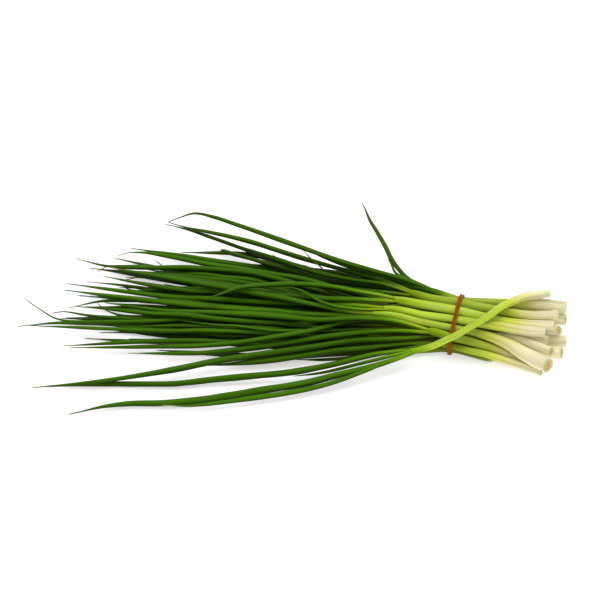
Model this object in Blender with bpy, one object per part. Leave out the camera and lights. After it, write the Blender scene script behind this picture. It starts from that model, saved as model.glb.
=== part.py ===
"""A bunch of scallions lying on its side: twenty held by a rubber band and a loose one laid across it.

Each scallion is one solid, its white bulb end, its stem and the round leaves that split from it. The leaves'
routes are designed first and then pushed apart, so that no two scallions pass through each other.
Blender's metres, +Z up, bulb ends at +X, origin on the surface below the middle of the bunch.
"""

import math

import bmesh
import bpy
import numpy as np
from mathutils import Vector

MM = 0.001

# Driving dimensions, in millimetres
STEM_RADIUS = 3.6
BULB_RADIUS = 4.8
BULB_REACH = 75.0
GAP = 0.35
BAND_WIDTH = 3.4
BAND_THICKNESS = 1.4
LEAF_TIP_RADIUS = 0.4

# The axis of the tied stems is turned about +Z, so that the bulb ends point forward of +X
BUNCH_TURN = math.radians(16)
SHARP_EDGE = math.radians(50)
AXIS = np.array([math.cos(BUNCH_TURN), -math.sin(BUNCH_TURN), 0.0])
ACROSS = np.array([math.sin(BUNCH_TURN), math.cos(BUNCH_TURN), 0.0])
UP = np.array([0.0, 0.0, 1.0])

STEM_STEPS = 12
LEAF_STEPS = 11
STEM_SIDES = 8
LEAF_SIDES = 5
BAND_STEPS = 72
# The bulb's edge at its cut, and the stem's end inside the split, against their full radii
CUT_EDGE = 0.93
SPLIT_END = 0.72
# How a leaf's width goes from its root inside the stem to its tip
LEAF_ALONG = (0, 0.1, 0.3, 0.6, 0.85, 1)
LEAF_WIDTHS = (0.5, 0.66, 0.94, 1, 0.68, 0)
# Rings crowd towards the leaf's tip, where it bends most
CROWDING = 1.35
# How far a leaf's root and its first ring lie from the middle of the stem, against the room in the stem
ROOT_SHARE = 0.4
RIM_SHARE = 0.36

CREAM = (0.85, 0.83, 0.62, 1.0)
LEAF_GREEN = (0.05, 0.16, 0.02, 1.0)
RUBBER_BROWN = (0.24, 0.08, 0.02, 1.0)

# Each scallion: the thickness of its stem and of its bulb against the usual ones, the places of its stem, and
# its leaves. A stem goes from the middle of the bulb's cut end to the split; one that lies inside the pile has
# only its cut, its place in the band and its split. A leaf is its width and the places that it passes. All
# places are in millimetres from the foot of the band: +X to the bulbs, +Y to the back and +Z up.
SCALLIONS = {
    "scallion_01": (0.8, 1.04, [
        (80.5, 13.5, 21.5), (62.5, 15, 23), (33, 15, 24), (7.5, 18, 23.5), (-1, 21, 24), (-11, 25, 25),
        (-19.5, 29, 26),
    ], [
        (4.0, (-39.5, 38.5, 29), (-68.5, 48.5, 31), (-90, 57.5, 32.5), (-112, 68.5, 34), (-171, 103, 33),
         (-192, 111, 33), (-213, 106, 28)),
        (4.2, (-39.5, 38, 26), (-68.5, 48.5, 28), (-89, 60, 28), (-109.5, 74.5, 27.5)),
        (3.6, (-31, 38.5, 27), (-36.5, 45.5, 28), (-42.5, 55, 30), (-48, 70.5, 33), (-54, 85, 36),
         (-60, 98.5, 39), (-62, 106, 41), (-65, 112.5, 43)),
        (2.4, (-34, 39, 28), (-41, 43, 29), (-44, 50.5, 31), (-47, 57, 33)),
    ]),
    "scallion_02": (0.86, 0.7, [
        (73, 3.5, 24), (53.5, 0.5, 25.5), (19.5, 7.5, 27), (4, 12.5, 27), (-17.5, 19, 26), (-33, 27.5, 25),
    ], [
        (4.2, (-52.5, 42.5, 25), (-78, 53, 25), (-112, 72, 22), (-154, 100, 16), (-202, 124, 10), (-215, 133, 8)),
        (4.4, (-53, 37, 24.5), (-82, 45, 22), (-112, 61, 18), (-147, 86, 12), (-193, 119, 7), (-218, 132, 5)),
        (4.6, (-50.5, 32, 21), (-68.5, 37.5, 19.5), (-90, 45, 17), (-111.5, 54, 14), (-133, 62, 10.5),
         (-155, 70, 7), (-184, 78, 5)),
    ]),
    "scallion_03": (0.93, 0.77, [
        (70, -6.5, 22), (52.5, -6.5, 22.5), (35, -5, 23.5), (17.5, 0, 24.5), (1.5, 6, 25), (-25, 14.5, 24),
        (-45.5, 21.5, 23),
    ], [
        (4.6, (-75, 32, 22), (-89.5, 36.5, 21.5), (-108, 39, 21), (-126.5, 38.5, 21), (-142, 36, 21),
         (-159, 33, 20), (-181, 25, 17)),
        (5.0, (-83, 20, 22), (-112, 27, 19), (-156, 37, 13), (-204, 48, 7), (-260, 67, 4)),
        (4.6, (-85, 37, 19), (-112, 54, 13), (-157, 70, 10), (-236, 98, 6), (-252, 96, 3)),
    ]),
    "scallion_04": (0.76, 0.77, [
        (62.5, -15, 23), (48.5, -14.5, 24), (31.5, -11, 25), (16, -5.5, 23.5), (-1, 1, 21.5), (-25, 6, 21.5),
        (-39.5, 11, 21.5), (-53.5, 12.5, 21.5),
    ], [
        (4.6, (-79, 19, 21), (-112, 24, 17), (-156, 30, 12), (-212, 44, 7), (-287, 58, 8)),
        (2.4, (-67, 9, 23), (-86.5, 11.5, 23.5), (-98.5, 17, 24.5), (-108, 26, 24.5), (-116.5, 32, 24),
         (-126.5, 34, 23)),
        (4.6, (-100, 30, 15), (-156, 49, 9), (-222, 67, 6), (-246, 65, 2)),
    ]),
    "scallion_05": (0.7, 1.17, [
        (65, -40, 12.5), (57, -34.5, 13), (48, -27.5, 13.5), (38, -19, 14.5), (27.5, -13.5, 16), (14, -8.5, 17),
        (-2.5, -3.5, 17), (-25, 1.5, 18.5), (-43, 7, 19.5), (-61.5, 8.5, 20),
    ], [
        (5.0, (-83, 11, 20.5), (-97, 16, 20), (-111.5, 22.5, 19), (-126, 28, 17), (-159, 39.5, 14),
         (-184, 49.5, 11), (-256, 77, 5)),
        (4.8, (-90, 9.5, 17), (-126, 16, 14), (-162, 23, 11), (-236, 41, 5), (-288, 52, 4)),
        (4.6, (-112, 8, 9), (-140, 10, 6), (-175, 12, 4), (-236, 16, 4), (-289, 19, 3), (-319, 15, 3)),
    ]),
    "scallion_06": (0.82, 0.7, [
        (54.5, -27.5, 4), (50.5, -24.5, 4.5), (38.5, -20, 5.5), (28, -17, 8.5), (18, -14.5, 10.5),
        (10, -12.5, 12), (-3, -8.5, 12.5), (-14, -5, 14),
        (-21.5, -3.5, 15),
    ], [
        (5.6, (-36, 1.5, 17), (-61, 4.5, 18.5), (-85, 2, 17), (-111.5, 5, 15), (-140, 11.5, 12), (-169, 17, 9),
         (-198, 21, 6), (-255, 36, 3)),
        (4.4, (-39.5, -4.5, 15), (-54, -4.5, 15), (-68, -5.5, 14), (-97, -8.5, 12), (-126, -12, 9),
         (-155, -15.5, 7), (-184, -17, 5), (-236, -15, 3)),
        (4.0, (-61, 8, 15), (-80, 6, 13.5), (-95, 1, 13), (-111.5, -5.5, 14), (-140, -8.5, 11),
         (-169, -9.5, 7), (-198, -7.5, 4), (-278, -8, 3)),
    ]),
    "scallion_07": (0.65, 0.55, [
        (59.5, -36, 3.5), (50.5, -31.5, 4), (38.5, -26.5, 5), (28, -23.5, 7), (18, -20.5, 8), (10.5, -18.5, 8.5),
        (-4, -13.5, 8.5), (-13, -11, 8.5),
    ], [
        (4.8, (-39.5, -10.5, 9), (-54, -14.5, 8.5), (-83, -16.5, 7.5), (-111.5, -21.5, 6), (-140, -26, 5),
         (-169, -27.5, 3.5), (-182, -28, 3)),
        (4.4, (-60, -8, 8), (-112, -1, 8), (-199, 6, 5), (-310, 15, 3)),
        (3.6, (-29, -12.5, 7.5), (-50, -17, 7), (-80, -18, 4), (-115, -17, 3)),
    ]),
    "scallion_08": (0.6, 0.55, [
        (30, -20, 3), (24, -19.5, 3), (18, -18, 3), (10.5, -16, 3.5), (-3.5, -12, 4), (-20, -12.5, 4),
        (-38, -14.5, 4),
    ], [
        (4.4, (-87, -16, 3.5), (-130, -21, 3), (-165, -26, 3)),
        (4.4, (-87, -14, 4), (-140, -18, 3), (-215, -12, 3)),
        (4.4, (-100, -6, 4), (-155, 1, 4), (-213, 0, 3), (-269, 4, 3)),
    ]),
    "scallion_09": (0.85, 0.73, [
        (66, -13, 14), (53.5, -9.5, 14), (36, -2.5, 14.5), (0.5, 2.5, 16), (-22, 3, 14), (-46, 3, 12),
    ], [
        (4.8, (-155, 18, 8), (-214, 19, 5), (-262, 24, 4), (-284, 27, 6), (-295, 26, 5)),
        (4.4, (-156, 21, 4), (-222, 21, 4), (-249, 22, 6), (-261, 28, 12)),
        (3.6, (-155, 15, 7), (-251, 17, 5), (-288, 15, 9), (-312, 27, 18)),
        (2.6, (-129.5, -2, 10), (-155, 4, 8), (-184, 10, 7), (-198, 14, 6)),
    ]),
    "scallion_10": (0.85, 0.75, [
        (74.5, -2, 14), (57.5, -2, 14), (2.5, 8.5, 17.5), (-25, 10, 15), (-52, 10, 13),
    ], [
        (4.8, (-156, 39, 8), (-201, 46, 5), (-241, 57, 3), (-246, 63, 3)),
        (4.8, (-156, 24, 9), (-212, 37, 6), (-258, 39, 5), (-284, 33, 3)),
        (4.8, (-120, 20, 8), (-190, 26, 4), (-262, 32, 3)),
    ]),
    "scallion_11": (0.9, 0.95, [
        (81.5, 12, 12.5), (60, 12, 14), (4.5, 15, 17.5), (-22, 19, 16), (-48, 21, 14),
    ], [
        (5.0, (-112, 46, 15), (-177, 72, 9), (-254, 79, 6), (-284, 87, 8)),
        (4.4, (-157, 63, 7), (-218, 77, 5), (-257, 78, 6), (-266, 75, 3)),
        (4.8, (-112, 36, 12), (-170, 50, 7), (-240, 52, 3)),
    ]),
    "scallion_12": (0.9, 0.8, [(71, 27, 10), (5, 17.5, 11), (-40, 34, 14)], [
        (4.8, (-112, 64, 10), (-157, 80, 7), (-201, 93, 6), (-242, 100, 8)),
        (5.4, (-89, 51, 14), (-134, 74, 14), (-172, 93, 13)),
        (4.4, (-112, 68, 12), (-150, 88, 9), (-204, 98, 4)),
    ]),
    "scallion_13": (0.8, 0.73, [
        (66.5, -26.5, 15), (52.5, -18, 15.5), (44.5, -12.5, 15.5), (28.5, -7, 14), (-0.5, -2, 11), (-8, -5.5, 11),
    ], [
        (5.0, (-18, -7, 12), (-40, -9, 12.5), (-54, -9.5, 12), (-83, -11, 10), (-111.5, -17, 8.5),
         (-140, -21.5, 7), (-169, -26.5, 5.5), (-198, -34.5, 4.5), (-251, -46, 3), (-300, -53, 3)),
        (4.6, (-68, -6, 8), (-127, -4, 7), (-178, -3, 5), (-236, 1, 3)),
    ]),
    "scallion_14": (0.9, 0.8, [(68, 5, 12), (1, 4, 11), (-50, 8, 9)], [
        (5.0, (-156, 12, 5), (-222, 18, 4), (-289, 23, 4)),
        (5.0, (-155, 5, 4), (-199, 5, 3), (-249, 11, 4)),
        (5.0, (-110, 20, 6), (-180, 30, 4), (-240, 34, 3)),
    ]),
    "scallion_15": (0.9, 0.8, [(74, 20.5, 12.5), (3, 11, 11), (-42, 17, 9)], []),
    "scallion_16": (0.9, 0.85, [(74, 22, 5.5), (6, 20, 5.5), (-46, 28, 9)], []),
    "scallion_17": (0.9, 0.95, [(76, -17, 5.5), (-1.5, -6, 5), (-52, 0, 4)], []),
    "scallion_18": (0.9, 0.95, [(80, -5, 5.5), (0, 1, 5), (-44, 8, 4)], []),
    "scallion_19": (0.9, 0.8, [(72, 4, 5.5), (2, 7.5, 5), (-50, 17, 4)], []),
    "scallion_20": (0.9, 0.8, [(70, 13, 5.5), (4, 14, 5), (-40, 27, 4)], []),
    "scallion_21": (0.66, 0.63, [
        (68.5, 17.5, 32), (61, 16, 32), (53, 14.5, 32), (43, 10, 31.5), (31.5, 2, 31.5), (21.5, -6.5, 29.5),
        (13, -8.5, 24.5), (1, -14, 20), (-9, -15.5, 15), (-18.5, -17.5, 11), (-34.5, -21.5, 9.5),
    ], [
        (5.2, (-54, -22, 9), (-75.5, -28.5, 8), (-97, -34, 7), (-111.5, -37, 6), (-140, -40, 5),
         (-169, -42.5, 4), (-198, -46.5, 3.5), (-251, -46, 3), (-293, -49, 3)),
        (5.6, (-56, -33, 7.5), (-71, -37, 6.5), (-97, -46, 5), (-119, -51.5, 4), (-140, -55.5, 3.5),
         (-169, -62, 3), (-198, -67, 3), (-239, -69, 3), (-272, -79, 3)),
        (3.4, (-72, -30.5, 6.5), (-97, -36.5, 4.5), (-117, -39, 3.5)),
        (4.0, (-83, -44, 4.5), (-111.5, -53.5, 3), (-140, -60, 3), (-156, -63.5, 3), (-190, -69, 3),
         (-208, -68, 3)),
    ]),
}

# This scallion lies loose, over the band
LOOSE = "scallion_21"

# The leaf of each pair here has snapped, and ends blunt
SNAPPED = {("scallion_12", 1)}
SNAPPED_END = 0.62

# Leaves of the scallions in the middle of the pile, whose tips don't show, are drawn by a seeded rule
HIDDEN_LEAVES = 4
HIDDEN_SEED = 7
HIDDEN_LENGTH = (170, 240)
HIDDEN_SPREAD = math.radians(5.5)
HIDDEN_HEADING = math.radians(6)
HIDDEN_FAN = math.radians(0.33)
HIDDEN_BOW = 7
HIDDEN_WIDTH = (4.0, 5.0)
HIDDEN_HEIGHT = 3

# The shoulder of a stem inside the pile, as a share of the way from the band to the bulb's cut: over the
# floor plan, and upward
SHOULDER = 0.45
SHOULDER_RISE = 0.35


def spot(along, across, above):
    """A point by its distance along the tied stems' axis, across it and above the floor."""
    return AXIS * along + ACROSS * across + UP * above


def curve_through(points, count, crowding=1.0):
    """Points along a smooth curve through the given ones, closer together towards its end as crowding grows."""
    points = np.array(points, float)
    ends = [2 * points[0] - points[1], *points, 2 * points[-1] - points[-2]]
    fine = []
    for i in range(1, len(ends) - 2):
        before, start, end, after = ends[i - 1 : i + 3]
        span = np.linalg.norm(end - start)
        leave = (end - before) * span / (np.linalg.norm(start - before) + span)
        arrive = (after - start) * span / (np.linalg.norm(after - end) + span)
        for t in np.arange(0, 1, 1 / 16):
            fine.append((2 * t**3 - 3 * t**2 + 1) * start + (t**3 - 2 * t**2 + t) * leave
                        + (3 * t**2 - 2 * t**3) * end + (t**3 - t**2) * arrive)
    fine = np.array(fine + [points[-1]])
    along = np.concatenate([[0], np.cumsum(np.linalg.norm(np.diff(fine, axis=0), axis=1))])
    wanted = along[-1] * (1 - (1 - np.linspace(0, 1, count)) ** crowding)
    return np.stack([np.interp(wanted, along, fine[:, k]) for k in range(3)], axis=1)


def hidden_leaves(split, across, rng):
    """Leaves that lie under the others and fan from a hidden split."""
    leaves = []
    heading = HIDDEN_HEADING + HIDDEN_FAN * across
    for side in np.linspace(-1, 1, HIDDEN_LEAVES):
        turn = heading + HIDDEN_SPREAD * (side + rng.uniform(-0.5, 0.5))
        reach = np.array([-math.cos(turn), math.sin(turn), 0])
        length = rng.uniform(*HIDDEN_LENGTH)
        bow = np.array([0, rng.uniform(-HIDDEN_BOW, HIDDEN_BOW), 0])
        start = np.array(split, float)
        middle = start + reach * length * 0.5 + bow
        tip = start + reach * length
        middle[2] = HIDDEN_HEIGHT + split[2] * rng.uniform(0.2, 0.8)
        tip[2] = HIDDEN_HEIGHT
        leaves.append((rng.uniform(*HIDDEN_WIDTH), tuple(middle), tuple(tip)))
    return leaves


class Strand:
    """A stem or a leaf: the points of its middle line, and its radius at each."""

    def __init__(self, scallion, line, radius, seen, stem=None, offset=None):
        self.scallion = scallion
        self.line = line
        self.radius = radius
        self.seen = seen
        self.stem = stem
        self.offset = offset


def smooth_step(x):
    x = np.clip(x, 0, 1)
    return x * x * (3 - 2 * x)


def stem_radius(line, thickness, bulb_thickness):
    """Widest just above the bulb's cut, slim through the band, slimmer again inside the split."""
    along = np.concatenate([[0], np.cumsum(np.linalg.norm(np.diff(line, axis=0), axis=1))])
    slim = STEM_RADIUS * thickness
    radius = slim + (BULB_RADIUS * bulb_thickness - slim) * smooth_step(1 - along / BULB_REACH)
    radius[0] *= CUT_EDGE
    radius[-1] *= SPLIT_END
    return radius


def leaf_radius(count, width):
    """Slim inside the stem, full for most of its length, drawn out to a fine tip."""
    along = 1 - (1 - np.linspace(0, 1, count)) ** CROWDING
    body = np.interp(along, LEAF_ALONG, LEAF_WIDTHS)
    return np.maximum(0.5 * width * body, LEAF_TIP_RADIUS)


def stem_route(places):
    """A stem's places; a shoulder and a middle are added to those of a stem inside the pile."""
    if len(places) > 3:
        return places
    cut, tied, split = (np.array(place, float) for place in places)
    shoulder = tied + SHOULDER * (cut - tied)
    shoulder[2] = tied[2] + SHOULDER_RISE * (cut[2] - tied[2])
    return [cut, shoulder, tied, 0.5 * (tied + split), split]


def add_scallion(strands, name, places, thickness, bulb_thickness, leaves, leaves_seen):
    line = curve_through(stem_route(places), STEM_STEPS + 1)
    radius = stem_radius(line, thickness, bulb_thickness)
    stem = Strand(name, line, radius, len(places) > 3)
    strands.append(stem)
    heading = line[-1] - line[-3]
    heading /= np.linalg.norm(heading)
    for number, (width, *places) in enumerate(leaves):
        sideways = np.array(places[0]) - line[-1]
        sideways -= heading * (sideways @ heading)
        sideways += ACROSS * (1 - number)
        sideways *= (stem.radius[-2] - RIM_SHARE * width) / max(np.linalg.norm(sideways), 1e-6)
        root = line[-2] + ROOT_SHARE * sideways
        route = curve_through([root, line[-1] + sideways, *places], LEAF_STEPS + 1, CROWDING)
        radius = leaf_radius(LEAF_STEPS + 1, width)
        if (name, number) in SNAPPED:
            radius = np.maximum(radius, 0.5 * width * SNAPPED_END)
        strands.append(Strand(name, route, radius, leaves_seen, stem, route[0] - line[-2]))


def design():
    """Every stem and leaf on its designed route, before they are pushed apart."""
    strands = []
    rng = np.random.default_rng(HIDDEN_SEED)
    for name, (thickness, bulb_thickness, places, leaves) in SCALLIONS.items():
        own_leaves = leaves or hidden_leaves(places[-1], ACROSS @ places[1], rng)
        add_scallion(strands, name, places, thickness, bulb_thickness, own_leaves, bool(leaves))
    return strands


class Pile:
    """All the strands' points in one array, so that they can be pushed apart together."""

    # Rounds of pushing while the strands keep their bends, then rounds of pushing alone
    RELAX_ROUNDS = 420
    SETTLE_ROUNDS = 260
    # How often the near pairs are listed anew, and how near they are, in millimetres
    LOOK_ROUNDS = 10
    LOOK_REACH = 6.0
    # How much of a bend a push leaves behind is smoothed away in each round
    EASE = 0.18
    # The least height of a middle line above the floor, against its radius there: a flat side then lies on it
    STEM_FLOOR = 0.9
    LEAF_FLOOR = 0.8
    # Strands of the inner pile give way more easily than the outer ones, which move mostly along SIGHT
    UNSEEN_YIELD = 4.0
    SIDE_YIELD = 0.4
    SIGHT = np.array([0.0, -math.cos(math.radians(40)), math.sin(math.radians(40))])
    # The loose stem keeps clear of the band under it, and the tied stems leave the band room on the floor: in
    # full up to the first distance from the band, and no more after the second
    OVER_BAND = (8, 22)
    ON_BAND = (10, 28)

    def __init__(self, strands):
        self.strands = strands
        sizes = [len(s.line) for s in strands]
        starts = np.concatenate([[0], np.cumsum(sizes)])
        self.starts = starts[:-1]
        self.points = np.concatenate([s.line for s in strands])
        self.design = self.points.copy()
        self.radius = np.concatenate([s.radius for s in strands])
        self.yields = np.concatenate([np.full(n, 1.0 if s.seen else self.UNSEEN_YIELD)
                                      for n, s in zip(sizes, strands)])
        floors = [self.STEM_FLOOR if s.stem is None else self.LEAF_FLOOR for s in strands]
        tied = np.repeat([s.stem is None and s.scallion != LOOSE for s in strands], sizes)
        under = BAND_THICKNESS + 1.2 * GAP + (1 - self.STEM_FLOOR) * self.radius
        near_band = np.interp(np.abs(self.points @ AXIS), self.ON_BAND, (1, 0))
        self.lowest = self.radius * np.repeat(floors, sizes) + tied * under * near_band
        self.reach = self.radius.copy()
        segments, owner, strand_of, order = [], [], [], []
        names = sorted({s.scallion for s in strands})
        for k, s in enumerate(strands):
            for i in range(len(s.line) - 1):
                segments.append(self.starts[k] + i)
                owner.append(names.index(s.scallion))
                strand_of.append(k)
                order.append(i)
        self.first = np.array(segments)
        self.owner = np.array(owner)
        self.strand_of = np.array(strand_of)
        self.order = np.array(order)
        self.is_stem = np.array([strands[k].stem is None for k in strand_of])
        inner = np.ones(len(self.points), bool)
        inner[self.starts] = False
        inner[starts[1:] - 1] = False
        self.inner = np.nonzero(inner)[0]
        self.tips = starts[1:] - 1
        self.widen_over_band()

    def widen_over_band(self):
        """The loose stem keeps clear of the band as well as of the stems under it."""
        for k, s in enumerate(self.strands):
            if s.scallion == LOOSE and s.stem is None:
                away = np.abs(s.line @ AXIS)
                room = BAND_THICKNESS + 2 * GAP
                where = self.starts[k] + np.arange(len(s.line))
                self.reach[where] += room * np.interp(away, self.OVER_BAND, (1, 0))

    def near_pairs(self):
        a, b = np.triu_indices(len(self.first), 1)
        siblings = self.owner[a] == self.owner[b]
        leaf_pair = ~self.is_stem[a] & ~self.is_stem[b] & (self.strand_of[a] != self.strand_of[b])
        apart = leaf_pair & (self.order[a] > 1) & (self.order[b] > 1)
        keep = ~siblings | apart
        a, b = a[keep], b[keep]
        middle = 0.5 * (self.points[self.first] + self.points[self.first + 1])
        half = 0.5 * np.linalg.norm(self.points[self.first] - self.points[self.first + 1], axis=1)
        room = half + self.reach[self.first]
        gap = np.linalg.norm(middle[a] - middle[b], axis=1) - room[a] - room[b]
        near = gap < self.LOOK_REACH
        return self.first[a[near]], self.first[b[near]]

    def contacts(self, a, b):
        """For each pair of segments: where they are nearest, the way between them, and the gap they lack."""
        p, q = self.points[a], self.points[b]
        u, v = self.points[a + 1] - p, self.points[b + 1] - q
        w = p - q
        uu, uv, vv = (u * u).sum(1), (u * v).sum(1), (v * v).sum(1)
        uw, vw = (u * w).sum(1), (v * w).sum(1)
        det = np.maximum(uu * vv - uv * uv, 1e-9)
        s = np.clip((uv * vw - vv * uw) / det, 0, 1)
        t = np.clip((uv * s + vw) / np.maximum(vv, 1e-9), 0, 1)
        s = np.clip((uv * t - uw) / np.maximum(uu, 1e-9), 0, 1)
        way = w + u * s[:, None] - v * t[:, None]
        distance = np.linalg.norm(way, axis=1)
        wanted = (self.reach[a] * (1 - s) + self.reach[a + 1] * s
                  + self.reach[b] * (1 - t) + self.reach[b + 1] * t + GAP)
        return s, t, way / np.maximum(distance, 1e-6)[:, None], wanted - distance

    def hold_roots(self):
        """A leaf's root stays in its stem, and moves as the stem's end does."""
        for k, s in enumerate(self.strands):
            if s.stem is None:
                continue
            stem_end = self.starts[self.strands.index(s.stem)] + len(s.stem.line) - 2
            self.points[self.starts[k]] = self.points[stem_end] + s.offset

    def relax(self):
        for step in range(self.RELAX_ROUNDS + self.SETTLE_ROUNDS):
            if step % self.LOOK_ROUNDS == 0:
                a, b = self.near_pairs()
            s, t, way, lack = self.contacts(a, b)
            hit = lack > 0
            push = lack[hit, None] * way[hit]
            give = self.yields[a[hit]] / (self.yields[a[hit]] + self.yields[b[hit]])
            move = np.zeros_like(self.points)
            share = np.zeros(len(self.points))
            for spots, part, pull in ((a, 1 - s, give), (a + 1, s, give),
                                      (b, 1 - t, give - 1), (b + 1, t, give - 1)):
                np.add.at(move, spots[hit], push * (pull * part[hit])[:, None])
                np.add.at(share, spots[hit], part[hit])
            move /= np.maximum(share, 0.5)[:, None]
            if step < self.RELAX_ROUNDS:
                seen = self.yields == 1
                along = (move[seen] @ self.SIGHT)[:, None] * self.SIGHT
                move[seen] = along + self.SIDE_YIELD * (move[seen] - along)
            self.points += move
            if step < self.RELAX_ROUNDS:
                shift = self.points - self.design
                around = 0.5 * (shift[self.inner - 1] + shift[self.inner + 1])
                self.points[self.inner] += self.EASE * (around - shift[self.inner])
                self.points[self.tips] += self.EASE * (shift[self.tips - 1] - shift[self.tips])
            self.hold_roots()
            self.points[:, 2] = np.maximum(self.points[:, 2], self.lowest)
        return max(0.0, float(self.contacts(*self.near_pairs())[3].max()))

    def hand_back(self):
        for k, s in enumerate(self.strands):
            s.line = self.points[self.starts[k] : self.starts[k] + len(s.line)]


HULL_ANGLES = 720
# The band's section, as shares of its width and of its thickness: flat faces with rounded edges
BAND_SECTION = ((-0.5, -0.3), (-0.32, -0.5), (0.32, -0.5), (0.5, -0.3),
                (0.5, 0.3), (0.32, 0.5), (-0.32, 0.5), (-0.5, 0.3))


def tied_section(strands):
    """The hull of the tied stems where the band crosses them, as a loop of points, in the band's plane."""
    circles = []
    for s in strands:
        if s.stem is not None or s.scallion == LOOSE:
            continue
        along = s.line @ AXIS
        for cut in (-0.5 * BAND_WIDTH, 0, 0.5 * BAND_WIDTH):
            centre = [np.interp(-cut, -along, s.line @ way) for way in (ACROSS, UP)]
            circles.append([*centre, np.interp(-cut, -along, s.radius)])
    circles = np.array(circles)
    loop = []
    for angle in np.linspace(0, 2 * math.pi, HULL_ANGLES, endpoint=False):
        outward = np.array([math.cos(angle), math.sin(angle)])
        furthest = circles[np.argmax(circles[:, :2] @ outward + circles[:, 2])]
        loop.append(furthest[:2] + outward * (furthest[2] + GAP + 0.5 * BAND_THICKNESS))
    loop = np.array(loop + [loop[0]])
    along = np.concatenate([[0], np.cumsum(np.linalg.norm(np.diff(loop, axis=0), axis=1))])
    even = np.linspace(0, along[-1], BAND_STEPS, endpoint=False)
    return np.stack([np.interp(even, along, loop[:, k]) for k in range(2)], axis=1)


def surface(name, colour, roughness):
    material = bpy.data.materials.new(name)
    material.use_nodes = True
    shader = material.node_tree.nodes["Principled BSDF"]
    shader.inputs["Base Color"].default_value = colour
    shader.inputs["Roughness"].default_value = roughness
    shader.inputs["Metallic"].default_value = 0.0
    return material


def tube(name, line, radius, sides, shift):
    """A closed tube round a middle line, with a flat side downward and nothing below the surface."""
    mesh = bmesh.new()
    rings = []
    for i, (centre, size) in enumerate(zip(line, radius)):
        heading = line[min(i + 1, len(line) - 1)] - line[max(i - 1, 0)]
        heading /= np.linalg.norm(heading)
        side = np.cross(UP, heading)
        side /= np.linalg.norm(side)
        top = np.cross(heading, side)
        ring = []
        for k in range(sides):
            angle = 2 * math.pi * (k + 0.5) / sides
            corner = centre + size * (side * math.sin(angle) - top * math.cos(angle))
            corner[2] = max(corner[2], 0)
            ring.append(mesh.verts.new(Vector((corner + shift) * MM)))
        rings.append(ring)
    for ring, following in zip(rings, rings[1:]):
        for k in range(sides):
            after = (k + 1) % sides
            mesh.faces.new((ring[k], following[k], following[after], ring[after]))
    mesh.faces.new(rings[0])
    mesh.faces.new(reversed(rings[-1]))
    bmesh.ops.recalc_face_normals(mesh, faces=mesh.faces)
    data = bpy.data.meshes.new(name)
    mesh.to_mesh(data)
    mesh.free()
    obj = bpy.data.objects.new(name, data)
    bpy.context.scene.collection.objects.link(obj)
    return obj


def join(body, pieces):
    """One solid of a stem and the leaves that grow from it."""
    group = bpy.data.collections.new(body.name + "_leaves")
    bpy.context.scene.collection.children.link(group)
    for piece in pieces:
        bpy.context.scene.collection.objects.unlink(piece)
        group.objects.link(piece)
    union = body.modifiers.new("leaves", "BOOLEAN")
    union.operation = "UNION"
    union.operand_type = "COLLECTION"
    union.collection = group
    union.solver = "EXACT"
    bpy.context.view_layer.objects.active = body
    bpy.ops.object.modifier_apply(modifier=union.name)
    for piece in pieces:
        bpy.data.objects.remove(piece)
    bpy.data.collections.remove(group)


def scallion(name, strands, shift, materials):
    """A whole scallion, with its white bulb end and green rest as two materials."""
    own = [s for s in strands if s.scallion == name]
    stem = tube(name, own[0].line, own[0].radius, STEM_SIDES, shift)
    leaves = [tube(f"{name}_leaf_{i}", s.line, s.radius, LEAF_SIDES, shift)
              for i, s in enumerate(own[1:])]
    join(stem, leaves)
    stem.data.materials.clear()
    for material in materials:
        stem.data.materials.append(material)
    colour_end = np.mean(own[0].line[3:5], axis=0) + shift
    for face in stem.data.polygons:
        face.material_index = 0 if face.center.x > colour_end[0] * MM else 1
    stem.data.shade_smooth()
    stem.data.set_sharp_from_angle(angle=SHARP_EDGE)


def rubber_band(strands, shift, material):
    """A flat rubber ring drawn tight round the tied stems."""
    loop = tied_section(strands)
    mesh = bmesh.new()
    rings = []
    for i, centre in enumerate(loop):
        along = loop[(i + 1) % len(loop)] - loop[i - 1]
        outward = np.array([along[1], -along[0]]) / np.linalg.norm(along)
        ring = []
        for wide, out in BAND_SECTION:
            corner = spot(wide * BAND_WIDTH, *(centre + outward * out * BAND_THICKNESS))
            ring.append(mesh.verts.new(Vector((corner + shift) * MM)))
        rings.append(ring)
    for i, ring in enumerate(rings):
        following = rings[(i + 1) % len(rings)]
        for k in range(len(ring)):
            after = (k + 1) % len(ring)
            mesh.faces.new((ring[k], following[k], following[after], ring[after]))
    bmesh.ops.recalc_face_normals(mesh, faces=mesh.faces)
    data = bpy.data.meshes.new("rubber_band")
    mesh.to_mesh(data)
    mesh.free()
    data.materials.append(material)
    data.shade_smooth()
    band = bpy.data.objects.new("rubber_band", data)
    bpy.context.scene.collection.objects.link(band)


def main():
    for obj in list(bpy.data.objects):
        bpy.data.objects.remove(obj)
    strands = design()
    pile = Pile(strands)
    lack = pile.relax()
    pile.hand_back()
    print(f"pile: the worst pair of segments lacks {lack:.2f} mm of its clearance")
    low = np.min([np.min(s.line - s.radius[:, None], axis=0) for s in strands], axis=0)
    high = np.max([np.max(s.line + s.radius[:, None], axis=0) for s in strands], axis=0)
    shift = np.array([-0.5 * (low[0] + high[0]), -0.5 * (low[1] + high[1]), 0])
    print(f"foot of the band at {shift[0]:.2f}, {shift[1]:.2f} mm")
    materials = (surface("bulb_white", CREAM, 0.35), surface("leaf_green", LEAF_GREEN, 0.4))
    for name in SCALLIONS:
        scallion(name, strands, shift, materials)
    rubber_band(strands, shift, surface("band_rubber", RUBBER_BROWN, 0.55))


if __name__ == "__main__":
    main()
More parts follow.
